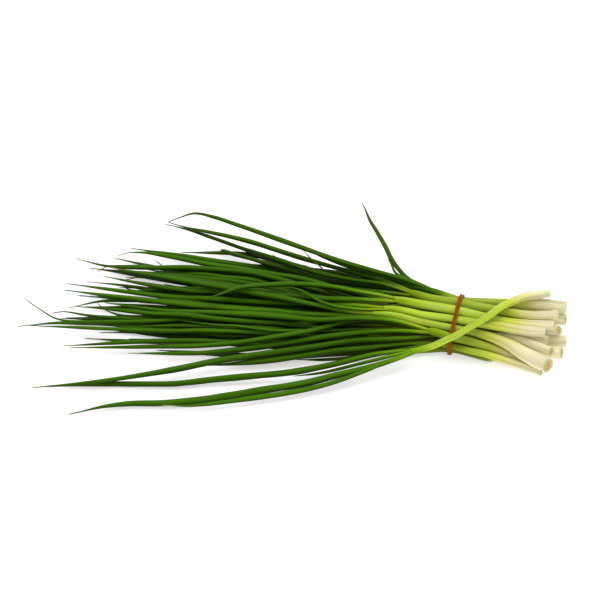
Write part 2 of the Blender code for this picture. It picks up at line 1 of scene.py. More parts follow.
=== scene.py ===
"""Dresses the bunch of scallions: round ribbed plants, trimmed bulb ends and a two-strand rubber band.

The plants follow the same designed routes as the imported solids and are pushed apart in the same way, so each
fine plant lies where its plain solid does. The layout is in millimetres and the meshes are in metres.
"""

import math

import bpy
import numpy as np
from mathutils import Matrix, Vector


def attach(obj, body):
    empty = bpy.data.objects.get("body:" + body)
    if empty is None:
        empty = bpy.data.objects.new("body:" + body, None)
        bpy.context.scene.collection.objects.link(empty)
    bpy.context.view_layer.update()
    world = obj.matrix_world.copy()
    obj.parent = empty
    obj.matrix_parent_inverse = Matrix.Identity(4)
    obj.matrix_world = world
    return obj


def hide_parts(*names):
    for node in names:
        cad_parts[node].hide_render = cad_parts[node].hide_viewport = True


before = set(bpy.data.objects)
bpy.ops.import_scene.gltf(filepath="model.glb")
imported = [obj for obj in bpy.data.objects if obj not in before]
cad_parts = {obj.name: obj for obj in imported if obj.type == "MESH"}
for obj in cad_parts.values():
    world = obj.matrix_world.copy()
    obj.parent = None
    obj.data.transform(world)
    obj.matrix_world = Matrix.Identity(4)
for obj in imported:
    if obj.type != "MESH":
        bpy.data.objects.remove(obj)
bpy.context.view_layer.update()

MM = 0.001

# Driving dimensions, in millimetres
STEM_RADIUS = 3.6
BULB_RADIUS = 4.8
BULB_REACH = 75.0
GAP = 0.35
BAND_WIDTH = 3.4
BAND_THICKNESS = 1.4
LEAF_TIP_RADIUS = 0.4

# The axis of the tied stems is turned about +Z, so that the bulb ends point forward of +X
BUNCH_TURN = math.radians(16)
AXIS = np.array([math.cos(BUNCH_TURN), -math.sin(BUNCH_TURN), 0.0])
ACROSS = np.array([math.sin(BUNCH_TURN), math.cos(BUNCH_TURN), 0.0])
UP = np.array([0.0, 0.0, 1.0])
# The camera looks down at this angle from the front
CAMERA_PITCH = math.radians(40)
TO_CAMERA = np.array([0.0, -math.cos(CAMERA_PITCH), math.sin(CAMERA_PITCH)])

STEM_STEPS = 12
LEAF_STEPS = 11
# Steps between two places of a route, before its points are spread evenly
CURVE_STEPS = 16
# The bulb's edge at its cut, and the stem's end inside the split, against their full radii
CUT_EDGE = 0.93
SPLIT_END = 0.72
# How a leaf's width goes from its root inside the stem to its tip
LEAF_ALONG = (0, 0.1, 0.3, 0.6, 0.85, 1)
LEAF_WIDTHS = (0.5, 0.66, 0.94, 1, 0.68, 0)
# A leaf's points crowd towards its tip, where it bends most
CROWDING = 1.35
# How far a leaf's root and its first ring lie from the middle of the stem, against the room in the stem
ROOT_SHARE = 0.4
RIM_SHARE = 0.36

# Each scallion, by its number: how thick its stem and its bulb are against the usual ones, the places of its
# stem from the bulb's cut to the split, and its leaves, each a width and the places that it passes. A stem
# inside the pile has only its cut, its place in the band and its split. Places are in millimetres from the foot
# of the band: +X to the bulbs, +Y to the back and +Z up.
SCALLIONS = {
    1: (0.8, 1.04, [(80.5, 13.5, 21.5), (62.5, 15, 23), (33, 15, 24), (7.5, 18, 23.5), (-1, 21, 24),
     (-11, 25, 25), (-19.5, 29, 26)], [
     (4.0, (-39.5, 38.5, 29), (-68.5, 48.5, 31), (-90, 57.5, 32.5), (-112, 68.5, 34), (-171, 103, 33),
      (-192, 111, 33), (-213, 106, 28)),
     (4.2, (-39.5, 38, 26), (-68.5, 48.5, 28), (-89, 60, 28), (-109.5, 74.5, 27.5)),
     (3.6, (-31, 38.5, 27), (-36.5, 45.5, 28), (-42.5, 55, 30), (-48, 70.5, 33), (-54, 85, 36),
      (-60, 98.5, 39), (-62, 106, 41), (-65, 112.5, 43)),
     (2.4, (-34, 39, 28), (-41, 43, 29), (-44, 50.5, 31), (-47, 57, 33)),
    ]),
    2: (0.86, 0.7, [(73, 3.5, 24), (53.5, 0.5, 25.5), (19.5, 7.5, 27), (4, 12.5, 27), (-17.5, 19, 26),
     (-33, 27.5, 25)], [
     (4.2, (-52.5, 42.5, 25), (-78, 53, 25), (-112, 72, 22), (-154, 100, 16), (-202, 124, 10),
      (-215, 133, 8)),
     (4.4, (-53, 37, 24.5), (-82, 45, 22), (-112, 61, 18), (-147, 86, 12), (-193, 119, 7), (-218, 132, 5)),
     (4.6, (-50.5, 32, 21), (-68.5, 37.5, 19.5), (-90, 45, 17), (-111.5, 54, 14), (-133, 62, 10.5),
      (-155, 70, 7), (-184, 78, 5)),
    ]),
    3: (0.93, 0.77, [(70, -6.5, 22), (52.5, -6.5, 22.5), (35, -5, 23.5), (17.5, 0, 24.5), (1.5, 6, 25),
     (-25, 14.5, 24), (-45.5, 21.5, 23)], [
     (4.6, (-75, 32, 22), (-89.5, 36.5, 21.5), (-108, 39, 21), (-126.5, 38.5, 21), (-142, 36, 21),
      (-159, 33, 20), (-181, 25, 17)),
     (5.0, (-83, 20, 22), (-112, 27, 19), (-156, 37, 13), (-204, 48, 7), (-260, 67, 4)),
     (4.6, (-85, 37, 19), (-112, 54, 13), (-157, 70, 10), (-236, 98, 6), (-252, 96, 3)),
    ]),
    4: (0.76, 0.77, [(62.5, -15, 23), (48.5, -14.5, 24), (31.5, -11, 25), (16, -5.5, 23.5), (-1, 1, 21.5),
     (-25, 6, 21.5), (-39.5, 11, 21.5), (-53.5, 12.5, 21.5)], [
     (4.6, (-79, 19, 21), (-112, 24, 17), (-156, 30, 12), (-212, 44, 7), (-287, 58, 8)),
     (2.4, (-67, 9, 23), (-86.5, 11.5, 23.5), (-98.5, 17, 24.5), (-108, 26, 24.5), (-116.5, 32, 24),
      (-126.5, 34, 23)),
     (4.6, (-100, 30, 15), (-156, 49, 9), (-222, 67, 6), (-246, 65, 2)),
    ]),
    5: (0.7, 1.17, [(65, -40, 12.5), (57, -34.5, 13), (48, -27.5, 13.5), (38, -19, 14.5), (27.5, -13.5, 16),
     (14, -8.5, 17), (-2.5, -3.5, 17), (-25, 1.5, 18.5), (-43, 7, 19.5), (-61.5, 8.5, 20)], [
     (5.0, (-83, 11, 20.5), (-97, 16, 20), (-111.5, 22.5, 19), (-126, 28, 17), (-159, 39.5, 14),
      (-184, 49.5, 11), (-256, 77, 5)),
     (4.8, (-90, 9.5, 17), (-126, 16, 14), (-162, 23, 11), (-236, 41, 5), (-288, 52, 4)),
     (4.6, (-112, 8, 9), (-140, 10, 6), (-175, 12, 4), (-236, 16, 4), (-289, 19, 3), (-319, 15, 3)),
    ]),
    6: (0.82, 0.7, [(54.5, -27.5, 4), (50.5, -24.5, 4.5), (38.5, -20, 5.5), (28, -17, 8.5),
     (18, -14.5, 10.5), (10, -12.5, 12), (-3, -8.5, 12.5), (-14, -5, 14), (-21.5, -3.5, 15)], [
     (5.6, (-36, 1.5, 17), (-61, 4.5, 18.5), (-85, 2, 17), (-111.5, 5, 15), (-140, 11.5, 12), (-169, 17, 9),
      (-198, 21, 6), (-255, 36, 3)),
     (4.4, (-39.5, -4.5, 15), (-54, -4.5, 15), (-68, -5.5, 14), (-97, -8.5, 12), (-126, -12, 9),
      (-155, -15.5, 7), (-184, -17, 5), (-236, -15, 3)),
     (4.0, (-61, 8, 15), (-80, 6, 13.5), (-95, 1, 13), (-111.5, -5.5, 14), (-140, -8.5, 11),
      (-169, -9.5, 7), (-198, -7.5, 4), (-278, -8, 3)),
    ]),
    7: (0.65, 0.55, [(59.5, -36, 3.5), (50.5, -31.5, 4), (38.5, -26.5, 5), (28, -23.5, 7), (18, -20.5, 8),
     (10.5, -18.5, 8.5), (-4, -13.5, 8.5), (-13, -11, 8.5)], [
     (4.8, (-39.5, -10.5, 9), (-54, -14.5, 8.5), (-83, -16.5, 7.5), (-111.5, -21.5, 6), (-140, -26, 5),
      (-169, -27.5, 3.5), (-182, -28, 3)),
     (4.4, (-60, -8, 8), (-112, -1, 8), (-199, 6, 5), (-310, 15, 3)),
     (3.6, (-29, -12.5, 7.5), (-50, -17, 7), (-80, -18, 4), (-115, -17, 3)),
    ]),
    8: (0.6, 0.55, [(30, -20, 3), (24, -19.5, 3), (18, -18, 3), (10.5, -16, 3.5), (-3.5, -12, 4),
     (-20, -12.5, 4), (-38, -14.5, 4)], [
     (4.4, (-87, -16, 3.5), (-130, -21, 3), (-165, -26, 3)),
     (4.4, (-87, -14, 4), (-140, -18, 3), (-215, -12, 3)),
     (4.4, (-100, -6, 4), (-155, 1, 4), (-213, 0, 3), (-269, 4, 3)),
    ]),
    9: (0.85, 0.73, [(66, -13, 14), (53.5, -9.5, 14), (36, -2.5, 14.5), (0.5, 2.5, 16), (-22, 3, 14),
     (-46, 3, 12)], [
     (4.8, (-155, 18, 8), (-214, 19, 5), (-262, 24, 4), (-284, 27, 6), (-295, 26, 5)),
     (4.4, (-156, 21, 4), (-222, 21, 4), (-249, 22, 6), (-261, 28, 12)),
     (3.6, (-155, 15, 7), (-251, 17, 5), (-288, 15, 9), (-312, 27, 18)),
     (2.6, (-129.5, -2, 10), (-155, 4, 8), (-184, 10, 7), (-198, 14, 6)),
    ]),
    10: (0.85, 0.75, [(74.5, -2, 14), (57.5, -2, 14), (2.5, 8.5, 17.5), (-25, 10, 15), (-52, 10, 13)], [
     (4.8, (-156, 39, 8), (-201, 46, 5), (-241, 57, 3), (-246, 63, 3)),
     (4.8, (-156, 24, 9), (-212, 37, 6), (-258, 39, 5), (-284, 33, 3)),
     (4.8, (-120, 20, 8), (-190, 26, 4), (-262, 32, 3)),
    ]),
    11: (0.9, 0.95, [(81.5, 12, 12.5), (60, 12, 14), (4.5, 15, 17.5), (-22, 19, 16), (-48, 21, 14)], [
     (5.0, (-112, 46, 15), (-177, 72, 9), (-254, 79, 6), (-284, 87, 8)),
     (4.4, (-157, 63, 7), (-218, 77, 5), (-257, 78, 6), (-266, 75, 3)),
     (4.8, (-112, 36, 12), (-170, 50, 7), (-240, 52, 3)),
    ]),
    12: (0.9, 0.8, [(71, 27, 10), (5, 17.5, 11), (-40, 34, 14)], [
     (4.8, (-112, 64, 10), (-157, 80, 7), (-201, 93, 6), (-242, 100, 8)),
     (5.4, (-89, 51, 14), (-134, 74, 14), (-172, 93, 13)),
     (4.4, (-112, 68, 12), (-150, 88, 9), (-204, 98, 4)),
    ]),
    13: (0.8, 0.73, [(66.5, -26.5, 15), (52.5, -18, 15.5), (44.5, -12.5, 15.5), (28.5, -7, 14),
     (-0.5, -2, 11), (-8, -5.5, 11)], [
     (5.0, (-18, -7, 12), (-40, -9, 12.5), (-54, -9.5, 12), (-83, -11, 10), (-111.5, -17, 8.5),
      (-140, -21.5, 7), (-169, -26.5, 5.5), (-198, -34.5, 4.5), (-251, -46, 3), (-300, -53, 3)),
     (4.6, (-68, -6, 8), (-127, -4, 7), (-178, -3, 5), (-236, 1, 3)),
    ]),
    14: (0.9, 0.8, [(68, 5, 12), (1, 4, 11), (-50, 8, 9)], [
     (5.0, (-156, 12, 5), (-222, 18, 4), (-289, 23, 4)),
     (5.0, (-155, 5, 4), (-199, 5, 3), (-249, 11, 4)),
     (5.0, (-110, 20, 6), (-180, 30, 4), (-240, 34, 3)),
    ]),
    15: (0.9, 0.8, [(74, 20.5, 12.5), (3, 11, 11), (-42, 17, 9)], []),
    16: (0.9, 0.85, [(74, 22, 5.5), (6, 20, 5.5), (-46, 28, 9)], []),
    17: (0.9, 0.95, [(76, -17, 5.5), (-1.5, -6, 5), (-52, 0, 4)], []),
    18: (0.9, 0.95, [(80, -5, 5.5), (0, 1, 5), (-44, 8, 4)], []),
    19: (0.9, 0.8, [(72, 4, 5.5), (2, 7.5, 5), (-50, 17, 4)], []),
    20: (0.9, 0.8, [(70, 13, 5.5), (4, 14, 5), (-40, 27, 4)], []),
    21: (0.66, 0.63, [(68.5, 17.5, 32), (61, 16, 32), (53, 14.5, 32), (43, 10, 31.5), (31.5, 2, 31.5),
     (21.5, -6.5, 29.5), (13, -8.5, 24.5), (1, -14, 20), (-9, -15.5, 15), (-18.5, -17.5, 11),
     (-34.5, -21.5, 9.5)], [
     (5.2, (-54, -22, 9), (-75.5, -28.5, 8), (-97, -34, 7), (-111.5, -37, 6), (-140, -40, 5),
      (-169, -42.5, 4), (-198, -46.5, 3.5), (-251, -46, 3), (-293, -49, 3)),
     (5.6, (-56, -33, 7.5), (-71, -37, 6.5), (-97, -46, 5), (-119, -51.5, 4), (-140, -55.5, 3.5),
      (-169, -62, 3), (-198, -67, 3), (-239, -69, 3), (-272, -79, 3)),
     (3.4, (-72, -30.5, 6.5), (-97, -36.5, 4.5), (-117, -39, 3.5)),
     (4.0, (-83, -44, 4.5), (-111.5, -53.5, 3), (-140, -60, 3), (-156, -63.5, 3), (-190, -69, 3),
      (-208, -68, 3)),
    ]),
}

# This scallion lies loose, over the band
LOOSE = 21
# The scallion and the leaf, counted from 0, of each leaf that has snapped and ends blunt
SNAPPED = {(12, 1)}
SNAPPED_END = 0.62

# Leaves of the scallions in the middle of the pile, whose tips don't show, are drawn by a seeded rule
HIDDEN_LEAVES = 4
HIDDEN_SEED = 7
HIDDEN_LENGTH = (170, 240)
HIDDEN_WIDTH = (4.0, 5.0)
# Where they head, how far that turns with a stem's place across the band, and how far they fan
HIDDEN_HEADING = math.radians(6)
HIDDEN_FAN = math.radians(0.33)
HIDDEN_SPREAD = math.radians(5.5)
# How far they bow sideways, how high their middle is against the split, and the height of their tips
HIDDEN_BOW = 7
HIDDEN_MIDDLE = (0.2, 0.8)
HIDDEN_HEIGHT = 3

# The shoulder of a stem inside the pile: its share of the way from band to cut, over the floor and upward
SHOULDER = 0.45
SHOULDER_RISE = 0.35


def lengths_along(line):
    """How far along a line each of its points is."""
    return np.concatenate([[0], np.cumsum(np.linalg.norm(np.diff(line, axis=0), axis=1))])


def rows_at(wanted, along, rows):
    """The rows of an array at some distances, where along is the distance of each row."""
    return np.stack([np.interp(wanted, along, column) for column in rows.T], axis=-1)


def crowded(count, crowding):
    """Shares from 0 to 1, closer together towards 1 as crowding grows."""
    return 1 - (1 - np.linspace(0, 1, count)) ** crowding


def curve_through(points, count, crowding=1.0):
    """Points along a smooth curve through the given ones, which crowd towards its end."""
    points = np.array(points, float)
    ends = [2 * points[0] - points[1], *points, 2 * points[-1] - points[-2]]
    fine = []
    for i in range(1, len(ends) - 2):
        before, start, end, after = ends[i - 1 : i + 3]
        span = np.linalg.norm(end - start)
        leave = (end - before) * span / (np.linalg.norm(start - before) + span)
        arrive = (after - start) * span / (np.linalg.norm(after - end) + span)
        for t in np.arange(0, 1, 1 / CURVE_STEPS):
            fine.append((2 * t**3 - 3 * t**2 + 1) * start + (t**3 - 2 * t**2 + t) * leave
                        + (3 * t**2 - 2 * t**3) * end + (t**3 - t**2) * arrive)
    fine = np.array(fine + [points[-1]])
    along = lengths_along(fine)
    return rows_at(along[-1] * crowded(count, crowding), along, fine)


def hidden_leaves(split, across, rng):
    """Leaves that lie under the others and fan from a hidden split."""
    leaves = []
    heading = HIDDEN_HEADING + HIDDEN_FAN * across
    start = np.array(split, float)
    for side in np.linspace(-1, 1, HIDDEN_LEAVES):
        turn = heading + HIDDEN_SPREAD * (side + rng.uniform(-0.5, 0.5))
        reach = np.array([-math.cos(turn), math.sin(turn), 0])
        length = rng.uniform(*HIDDEN_LENGTH)
        bow = np.array([0, rng.uniform(-HIDDEN_BOW, HIDDEN_BOW), 0])
        middle = start + reach * length * 0.5 + bow
        tip = start + reach * length
        middle[2] = HIDDEN_HEIGHT + split[2] * rng.uniform(*HIDDEN_MIDDLE)
        tip[2] = HIDDEN_HEIGHT
        leaves.append((rng.uniform(*HIDDEN_WIDTH), middle, tip))
    return leaves


class Strand:
    """A stem or a leaf: the points of its middle line, and its radius at each."""

    def __init__(self, scallion, line, radius, seen, stem=None, offset=None):
        self.scallion = scallion
        self.line = line
        self.radius = radius
        self.seen = seen
        self.stem = stem
        self.offset = offset


def smooth_step(x):
    x = np.clip(x, 0, 1)
    return x * x * (3 - 2 * x)


def smooth_between(values, low, high):
    return smooth_step((values - low) / (high - low))


def stem_radius(line, thickness, bulb_thickness):
    """Widest just above the bulb's cut, slim through the band, slimmer again inside the split."""
    slim = STEM_RADIUS * thickness
    bulge = BULB_RADIUS * bulb_thickness - slim
    radius = slim + bulge * smooth_step(1 - lengths_along(line) / BULB_REACH)
    radius[0] *= CUT_EDGE
    radius[-1] *= SPLIT_END
    return radius


def leaf_radius(width):
    """Slim inside the stem, full for most of its length, drawn out to a fine tip."""
    body = np.interp(crowded(LEAF_STEPS + 1, CROWDING), LEAF_ALONG, LEAF_WIDTHS)
    return np.maximum(0.5 * width * body, LEAF_TIP_RADIUS)


def stem_route(places):
    """A stem's places; a shoulder and a middle are added to those of a stem inside the pile."""
    if len(places) > 3:
        return places
    cut, tied, split = (np.array(place, float) for place in places)
    shoulder = tied + SHOULDER * (cut - tied)
    shoulder[2] = tied[2] + SHOULDER_RISE * (cut[2] - tied[2])
    return [cut, shoulder, tied, 0.5 * (tied + split), split]


def add_scallion(strands, scallion, places, thickness, bulb_thickness, leaves, leaves_seen):
    line = curve_through(stem_route(places), STEM_STEPS + 1)
    radius = stem_radius(line, thickness, bulb_thickness)
    stem = Strand(scallion, line, radius, len(places) > 3)
    strands.append(stem)
    heading = line[-1] - line[-3]
    heading /= np.linalg.norm(heading)
    for number, (width, *places) in enumerate(leaves):
        sideways = np.array(places[0]) - line[-1]
        sideways -= heading * (sideways @ heading)
        sideways += ACROSS * (1 - number)
        sideways *= (stem.radius[-2] - RIM_SHARE * width) / max(np.linalg.norm(sideways), 1e-6)
        root = line[-2] + ROOT_SHARE * sideways
        route = curve_through([root, line[-1] + sideways, *places], LEAF_STEPS + 1, CROWDING)
        radius = leaf_radius(width)
        if (scallion, number) in SNAPPED:
            radius = np.maximum(radius, 0.5 * width * SNAPPED_END)
        strands.append(Strand(scallion, route, radius, leaves_seen, stem, route[0] - line[-2]))


def design():
    """Every stem and leaf on its designed route, before they are pushed apart."""
    strands = []
    rng = np.random.default_rng(HIDDEN_SEED)
    for scallion, (thickness, bulb_thickness, places, leaves) in SCALLIONS.items():
        own_leaves = leaves or hidden_leaves(places[-1], ACROSS @ places[1], rng)
        add_scallion(strands, scallion, places, thickness, bulb_thickness, own_leaves, bool(leaves))
    return strands


class Pile:
    """All the strands' points in one array, so that they can be pushed apart together."""

    # Rounds of pushing while the strands keep their bends, then rounds of pushing alone
    RELAX_ROUNDS = 420
    SETTLE_ROUNDS = 260
    # How often the near pairs are listed anew, and how near they are
    LOOK_ROUNDS = 10
    LOOK_REACH = 6.0
    # The share of a bend that is smoothed away in each round
    EASE = 0.18
    # A point moves by the mean of its pushes where their shares add up to this or more
    LEAST_SHARE = 0.5
    # The least height of a middle line, against its radius there: a flat side then lies on the floor
    STEM_FLOOR = 0.9
    LEAF_FLOOR = 0.8
    # Strands of the inner pile give way more easily than the outer ones, which mostly move along TO_CAMERA
    UNSEEN_YIELD = 4.0
    SIDE_YIELD = 0.4
    # The loose stem leaves the band room under it, and the tied stems room on the floor: in full up to the
    # first distance from the band, and none after the second
    OVER_BAND = (8, 22)
    OVER_BAND_ROOM = BAND_THICKNESS + 2 * GAP
    ON_BAND = (10, 28)
    ON_BAND_ROOM = BAND_THICKNESS + 1.2 * GAP
    # The leaves of one scallion may touch on this many segments from their roots
    JOINED_SEGMENTS = 2

    def __init__(self, strands):
        self.strands = strands
        sizes = np.array([len(s.line) for s in strands])
        self.tips = np.cumsum(sizes) - 1
        self.starts = self.tips + 1 - sizes
        self.points = np.concatenate([s.line for s in strands])
        self.design = self.points.copy()
        self.yields = np.repeat([1.0 if s.seen else self.UNSEEN_YIELD for s in strands], sizes)

        radius = np.concatenate([s.radius for s in strands])
        is_stem = np.array([s.stem is None for s in strands])
        floors = np.where(is_stem, self.STEM_FLOOR, self.LEAF_FLOOR)
        tied = np.repeat([s.stem is None and s.scallion != LOOSE for s in strands], sizes)
        under = self.ON_BAND_ROOM + (1 - self.STEM_FLOOR) * radius
        near_band = np.interp(np.abs(self.points @ AXIS), self.ON_BAND, (1, 0))
        self.lowest = radius * np.repeat(floors, sizes) + tied * under * near_band

        self.strand_of = np.repeat(np.arange(len(strands)), sizes - 1)
        self.order = np.concatenate([np.arange(size - 1) for size in sizes])
        self.first = self.starts[self.strand_of] + self.order
        self.owner = np.array([s.scallion for s in strands])[self.strand_of]
        self.is_stem = is_stem[self.strand_of]
        self.inner = self.first[self.order > 0]
        self.reach = radius
        for start, s in zip(self.starts, strands):
            if s.scallion == LOOSE and s.stem is None:
                near_band = np.interp(np.abs(s.line @ AXIS), self.OVER_BAND, (1, 0))
                self.reach[start : start + len(near_band)] += self.OVER_BAND_ROOM * near_band

    def near_pairs(self):
        a, b = np.triu_indices(len(self.first), 1)
        siblings = self.owner[a] == self.owner[b]
        leaf_pair = ~self.is_stem[a] & ~self.is_stem[b] & (self.strand_of[a] != self.strand_of[b])
        apart = leaf_pair & (np.minimum(self.order[a], self.order[b]) >= self.JOINED_SEGMENTS)
        keep = ~siblings | apart
        a, b = a[keep], b[keep]
        start, end = self.points[self.first], self.points[self.first + 1]
        middle = 0.5 * (start + end)
        room = 0.5 * np.linalg.norm(start - end, axis=1) + self.reach[self.first]
        gap = np.linalg.norm(middle[a] - middle[b], axis=1) - room[a] - room[b]
        near = gap < self.LOOK_REACH
        return self.first[a[near]], self.first[b[near]]

    def contacts(self, a, b):
        """For each pair of segments: where they are nearest, the way between them, and the gap they lack."""
        p, q = self.points[a], self.points[b]
        u, v = self.points[a + 1] - p, self.points[b + 1] - q
        w = p - q
        uu, uv, vv = (u * u).sum(1), (u * v).sum(1), (v * v).sum(1)
        uw, vw = (u * w).sum(1), (v * w).sum(1)
        det = np.maximum(uu * vv - uv * uv, 1e-9)
        s = np.clip((uv * vw - vv * uw) / det, 0, 1)
        t = np.clip((uv * s + vw) / np.maximum(vv, 1e-9), 0, 1)
        s = np.clip((uv * t - uw) / np.maximum(uu, 1e-9), 0, 1)
        way = w + u * s[:, None] - v * t[:, None]
        distance = np.linalg.norm(way, axis=1)
        wanted = (self.reach[a] * (1 - s) + self.reach[a + 1] * s
                  + self.reach[b] * (1 - t) + self.reach[b + 1] * t + GAP)
        return s, t, way / np.maximum(distance, 1e-6)[:, None], wanted - distance

    def hold_roots(self):
        """A leaf's root stays in its stem, and moves as the stem's end does."""
        for k, s in enumerate(self.strands):
            if s.stem is None:
                continue
            stem_end = self.starts[self.strands.index(s.stem)] + len(s.stem.line) - 2
            self.points[self.starts[k]] = self.points[stem_end] + s.offset

    def relax(self):
        for step in range(self.RELAX_ROUNDS + self.SETTLE_ROUNDS):
            if step % self.LOOK_ROUNDS == 0:
                a, b = self.near_pairs()
            s, t, way, lack = self.contacts(a, b)
            hit = lack > 0
            push = lack[hit, None] * way[hit]
            give = self.yields[a[hit]] / (self.yields[a[hit]] + self.yields[b[hit]])
            move = np.zeros_like(self.points)
            share = np.zeros(len(self.points))
            for spots, part, pull in ((a, 1 - s, give), (a + 1, s, give),
                                      (b, 1 - t, give - 1), (b + 1, t, give - 1)):
                np.add.at(move, spots[hit], push * (pull * part[hit])[:, None])
                np.add.at(share, spots[hit], part[hit])
            move /= np.maximum(share, self.LEAST_SHARE)[:, None]
            if step < self.RELAX_ROUNDS:
                seen = self.yields == 1
                along = (move[seen] @ TO_CAMERA)[:, None] * TO_CAMERA
                move[seen] = along + self.SIDE_YIELD * (move[seen] - along)
            self.points += move
            if step < self.RELAX_ROUNDS:
                shift = self.points - self.design
                around = 0.5 * (shift[self.inner - 1] + shift[self.inner + 1])
                self.points[self.inner] += self.EASE * (around - shift[self.inner])
                self.points[self.tips] += self.EASE * (shift[self.tips - 1] - shift[self.tips])
            self.hold_roots()
            self.points[:, 2] = np.maximum(self.points[:, 2], self.lowest)

    def hand_back(self):
        for start, s in zip(self.starts, self.strands):
            s.line = self.points[start : start + len(s.line)]


HULL_ANGLES = 720


def tied_section(strands, count):
    """The hull of the tied stems where the band crosses them, as a loop of points, in the band's plane."""
    circles = []
    for s in strands:
        if s.stem is not None or s.scallion == LOOSE:
            continue
        along = s.line @ AXIS
        for cut in (-0.5 * BAND_WIDTH, 0, 0.5 * BAND_WIDTH):
            centre = [np.interp(-cut, -along, s.line @ way) for way in (ACROSS, UP)]
            circles.append([*centre, np.interp(-cut, -along, s.radius)])
    circles = np.array(circles)
    loop = []
    for angle in np.linspace(0, 2 * math.pi, HULL_ANGLES, endpoint=False):
        outward = np.array([math.cos(angle), math.sin(angle)])
        furthest = circles[np.argmax(circles[:, :2] @ outward + circles[:, 2])]
        loop.append(furthest[:2] + outward * (furthest[2] + GAP + 0.5 * BAND_THICKNESS))
    loop = np.array(loop + [loop[0]])
    along = lengths_along(loop)
    return rows_at(np.linspace(0, along[-1], count, endpoint=False), along, loop)


# The fine plants: the steps between rings and the sides of a ring
STEM_RING_STEP = 1.6
LEAF_RING_STEP = 2.2
THREAD_RING_STEP = 1.0
STUB_RING_STEP = 0.25
LEAST_RINGS = 6
STEM_RING_SIDES = 28
LEAF_RING_SIDES = 18
THREAD_SIDES = 6
BAND_RING_STEPS = 240
BAND_RING_SIDES = 14
SHARP_EDGE = math.radians(50)
# No point is lower than this above the floor
LOWEST = 0.05
# Each plant's seed is this and its number; the band and the threads have this one
DRESS_SEED = 10

# A wave is the sum of three, with these shares of its size and length, and with these limits to their pitch
WAVE_SHARES = (1.0, 0.6, 0.35)
WAVE_PITCH = (0.7, 1.4)
WAVE_SUM = 1.5

# The white of a bulb end fades to green at this distance from the cut
WHITE_REACH = (58, 74)
WHITE_REACH_OF = {2: 62, 3: 54, 4: 60, 5: 88, 8: 9, 13: 104, 21: 58}
# How far before the split the green of the leaves starts, and how green the stem is there
GREEN_REACH = (40, 0.32)
GREEN_REACH_OF = {1: (26, 0.9), 21: (30, 0.46)}
# How far the leaves go on turning green: the first of each plant, and the others
GREENING = (64, 44)

# Bulbs that are cut shorter than their solid, by this much
CUT_SHORT_OF = {5: 2.4}
# How steeply a bulb's end is cut to face the camera, and how far up the bulb that slope is spread
CUT_SLOPE = {3: 0.2, 5: 0.42, 6: 0.3, 7: 0.2, 9: 0.3, 10: 0.9, 11: 0.5, 13: 0.42, 17: 0.3}
OTHER_SLOPE = (-0.12, 0.16)
SLOPE_REACH = 14.0

# Ribs along a stem: how many, how high against its radius, and how long the waves are that turn and swell it
RIBS = 9
RIB_HEIGHT = 0.012
RIB_WAVES = (120, 45)

# The sheath at the split: its wall, how deep it is open, where it starts to widen, and over what length
SHEATH_WALL = 0.3
SHEATH_DEPTH = 9.0
SHEATH_START = 15.0
SHEATH_EASE = 6
# Its lip: the share of the wall left there, its slant, how far that is turned from the top, how far back the
# lip is, and where the rings before it start to lean with it
LIP_WALL = 0.3
LIP_SLANT = (2.5, 5.0)
LIP_TURN = 0.9
LIP_BACK = 2.0
LIP_LEAN = 45.0
# Its inside, from the lip down: the depth, and how many walls it is inside the skin
INSIDE_RINGS = ((0.0, 0.5), (1.5, 1.2), (SHEATH_DEPTH, 1.6))

# The trimmed end, from its middle outward: the share of the bulb's radius, and how far it stands out
CUT_RINGS = ((0.06, 0.55), (0.16, 0.5), (0.27, 0.32), (0.35, 0.05), (0.39, -0.3), (0.43, -0.02),
             (0.53, 0.04), (0.57, -0.3), (0.61, 0.0), (0.71, 0.05), (0.75, -0.28), (0.79, 0.0), (0.9, 0.02),
             (0.97, -0.03))
# The cut isn't quite round: by how much of its radius, and in how many lobes
CUT_LOBES = (0.02, 5)
# Stubs of roots on the cut: how many, how far from its middle, their length and that of their tips, how much
# they lean, and how thick they are
STUBS = (3, 7)
STUB_PLACE = (0.04, 0.22)
STUB_LENGTH = (0.2, 0.7)
STUB_TIP = 0.3
STUB_LEAN = (0.1, 0.5)
STUB_RADII = np.array([1, 0.9, 0.5]) * 0.22

# A leaf's section: its height against its width, how square it is, and how far it is turned
LEAF_FLATNESS = (0.74, 0.9)
LEAF_SQUARENESS = (2.0, 2.7)
LEAF_TURN = 0.6
# How much the turn, the flatness and the width go up and down along a leaf, and on what length
TURN_WAVE = (0.35, 150)
FLATNESS_WAVE = (0.06, 90)
WIDTH_WAVE = (0.035, 60)
# A leaf rounds off on this length, and keeps this share of its section at its end
TIP_LENGTH = 3
TIP_SHARE = 0.05
# Some leaves have dried tips: how many, how dry, and where that starts and is full, back from the tip
DRY_CHANCE = 0.4
DRYNESS = (0.3, 1.0)
DRY_REACH = (-14, -2)
# How much of a leaf's tone is its plant's; the rest is its own
PLANT_TONE = 0.4

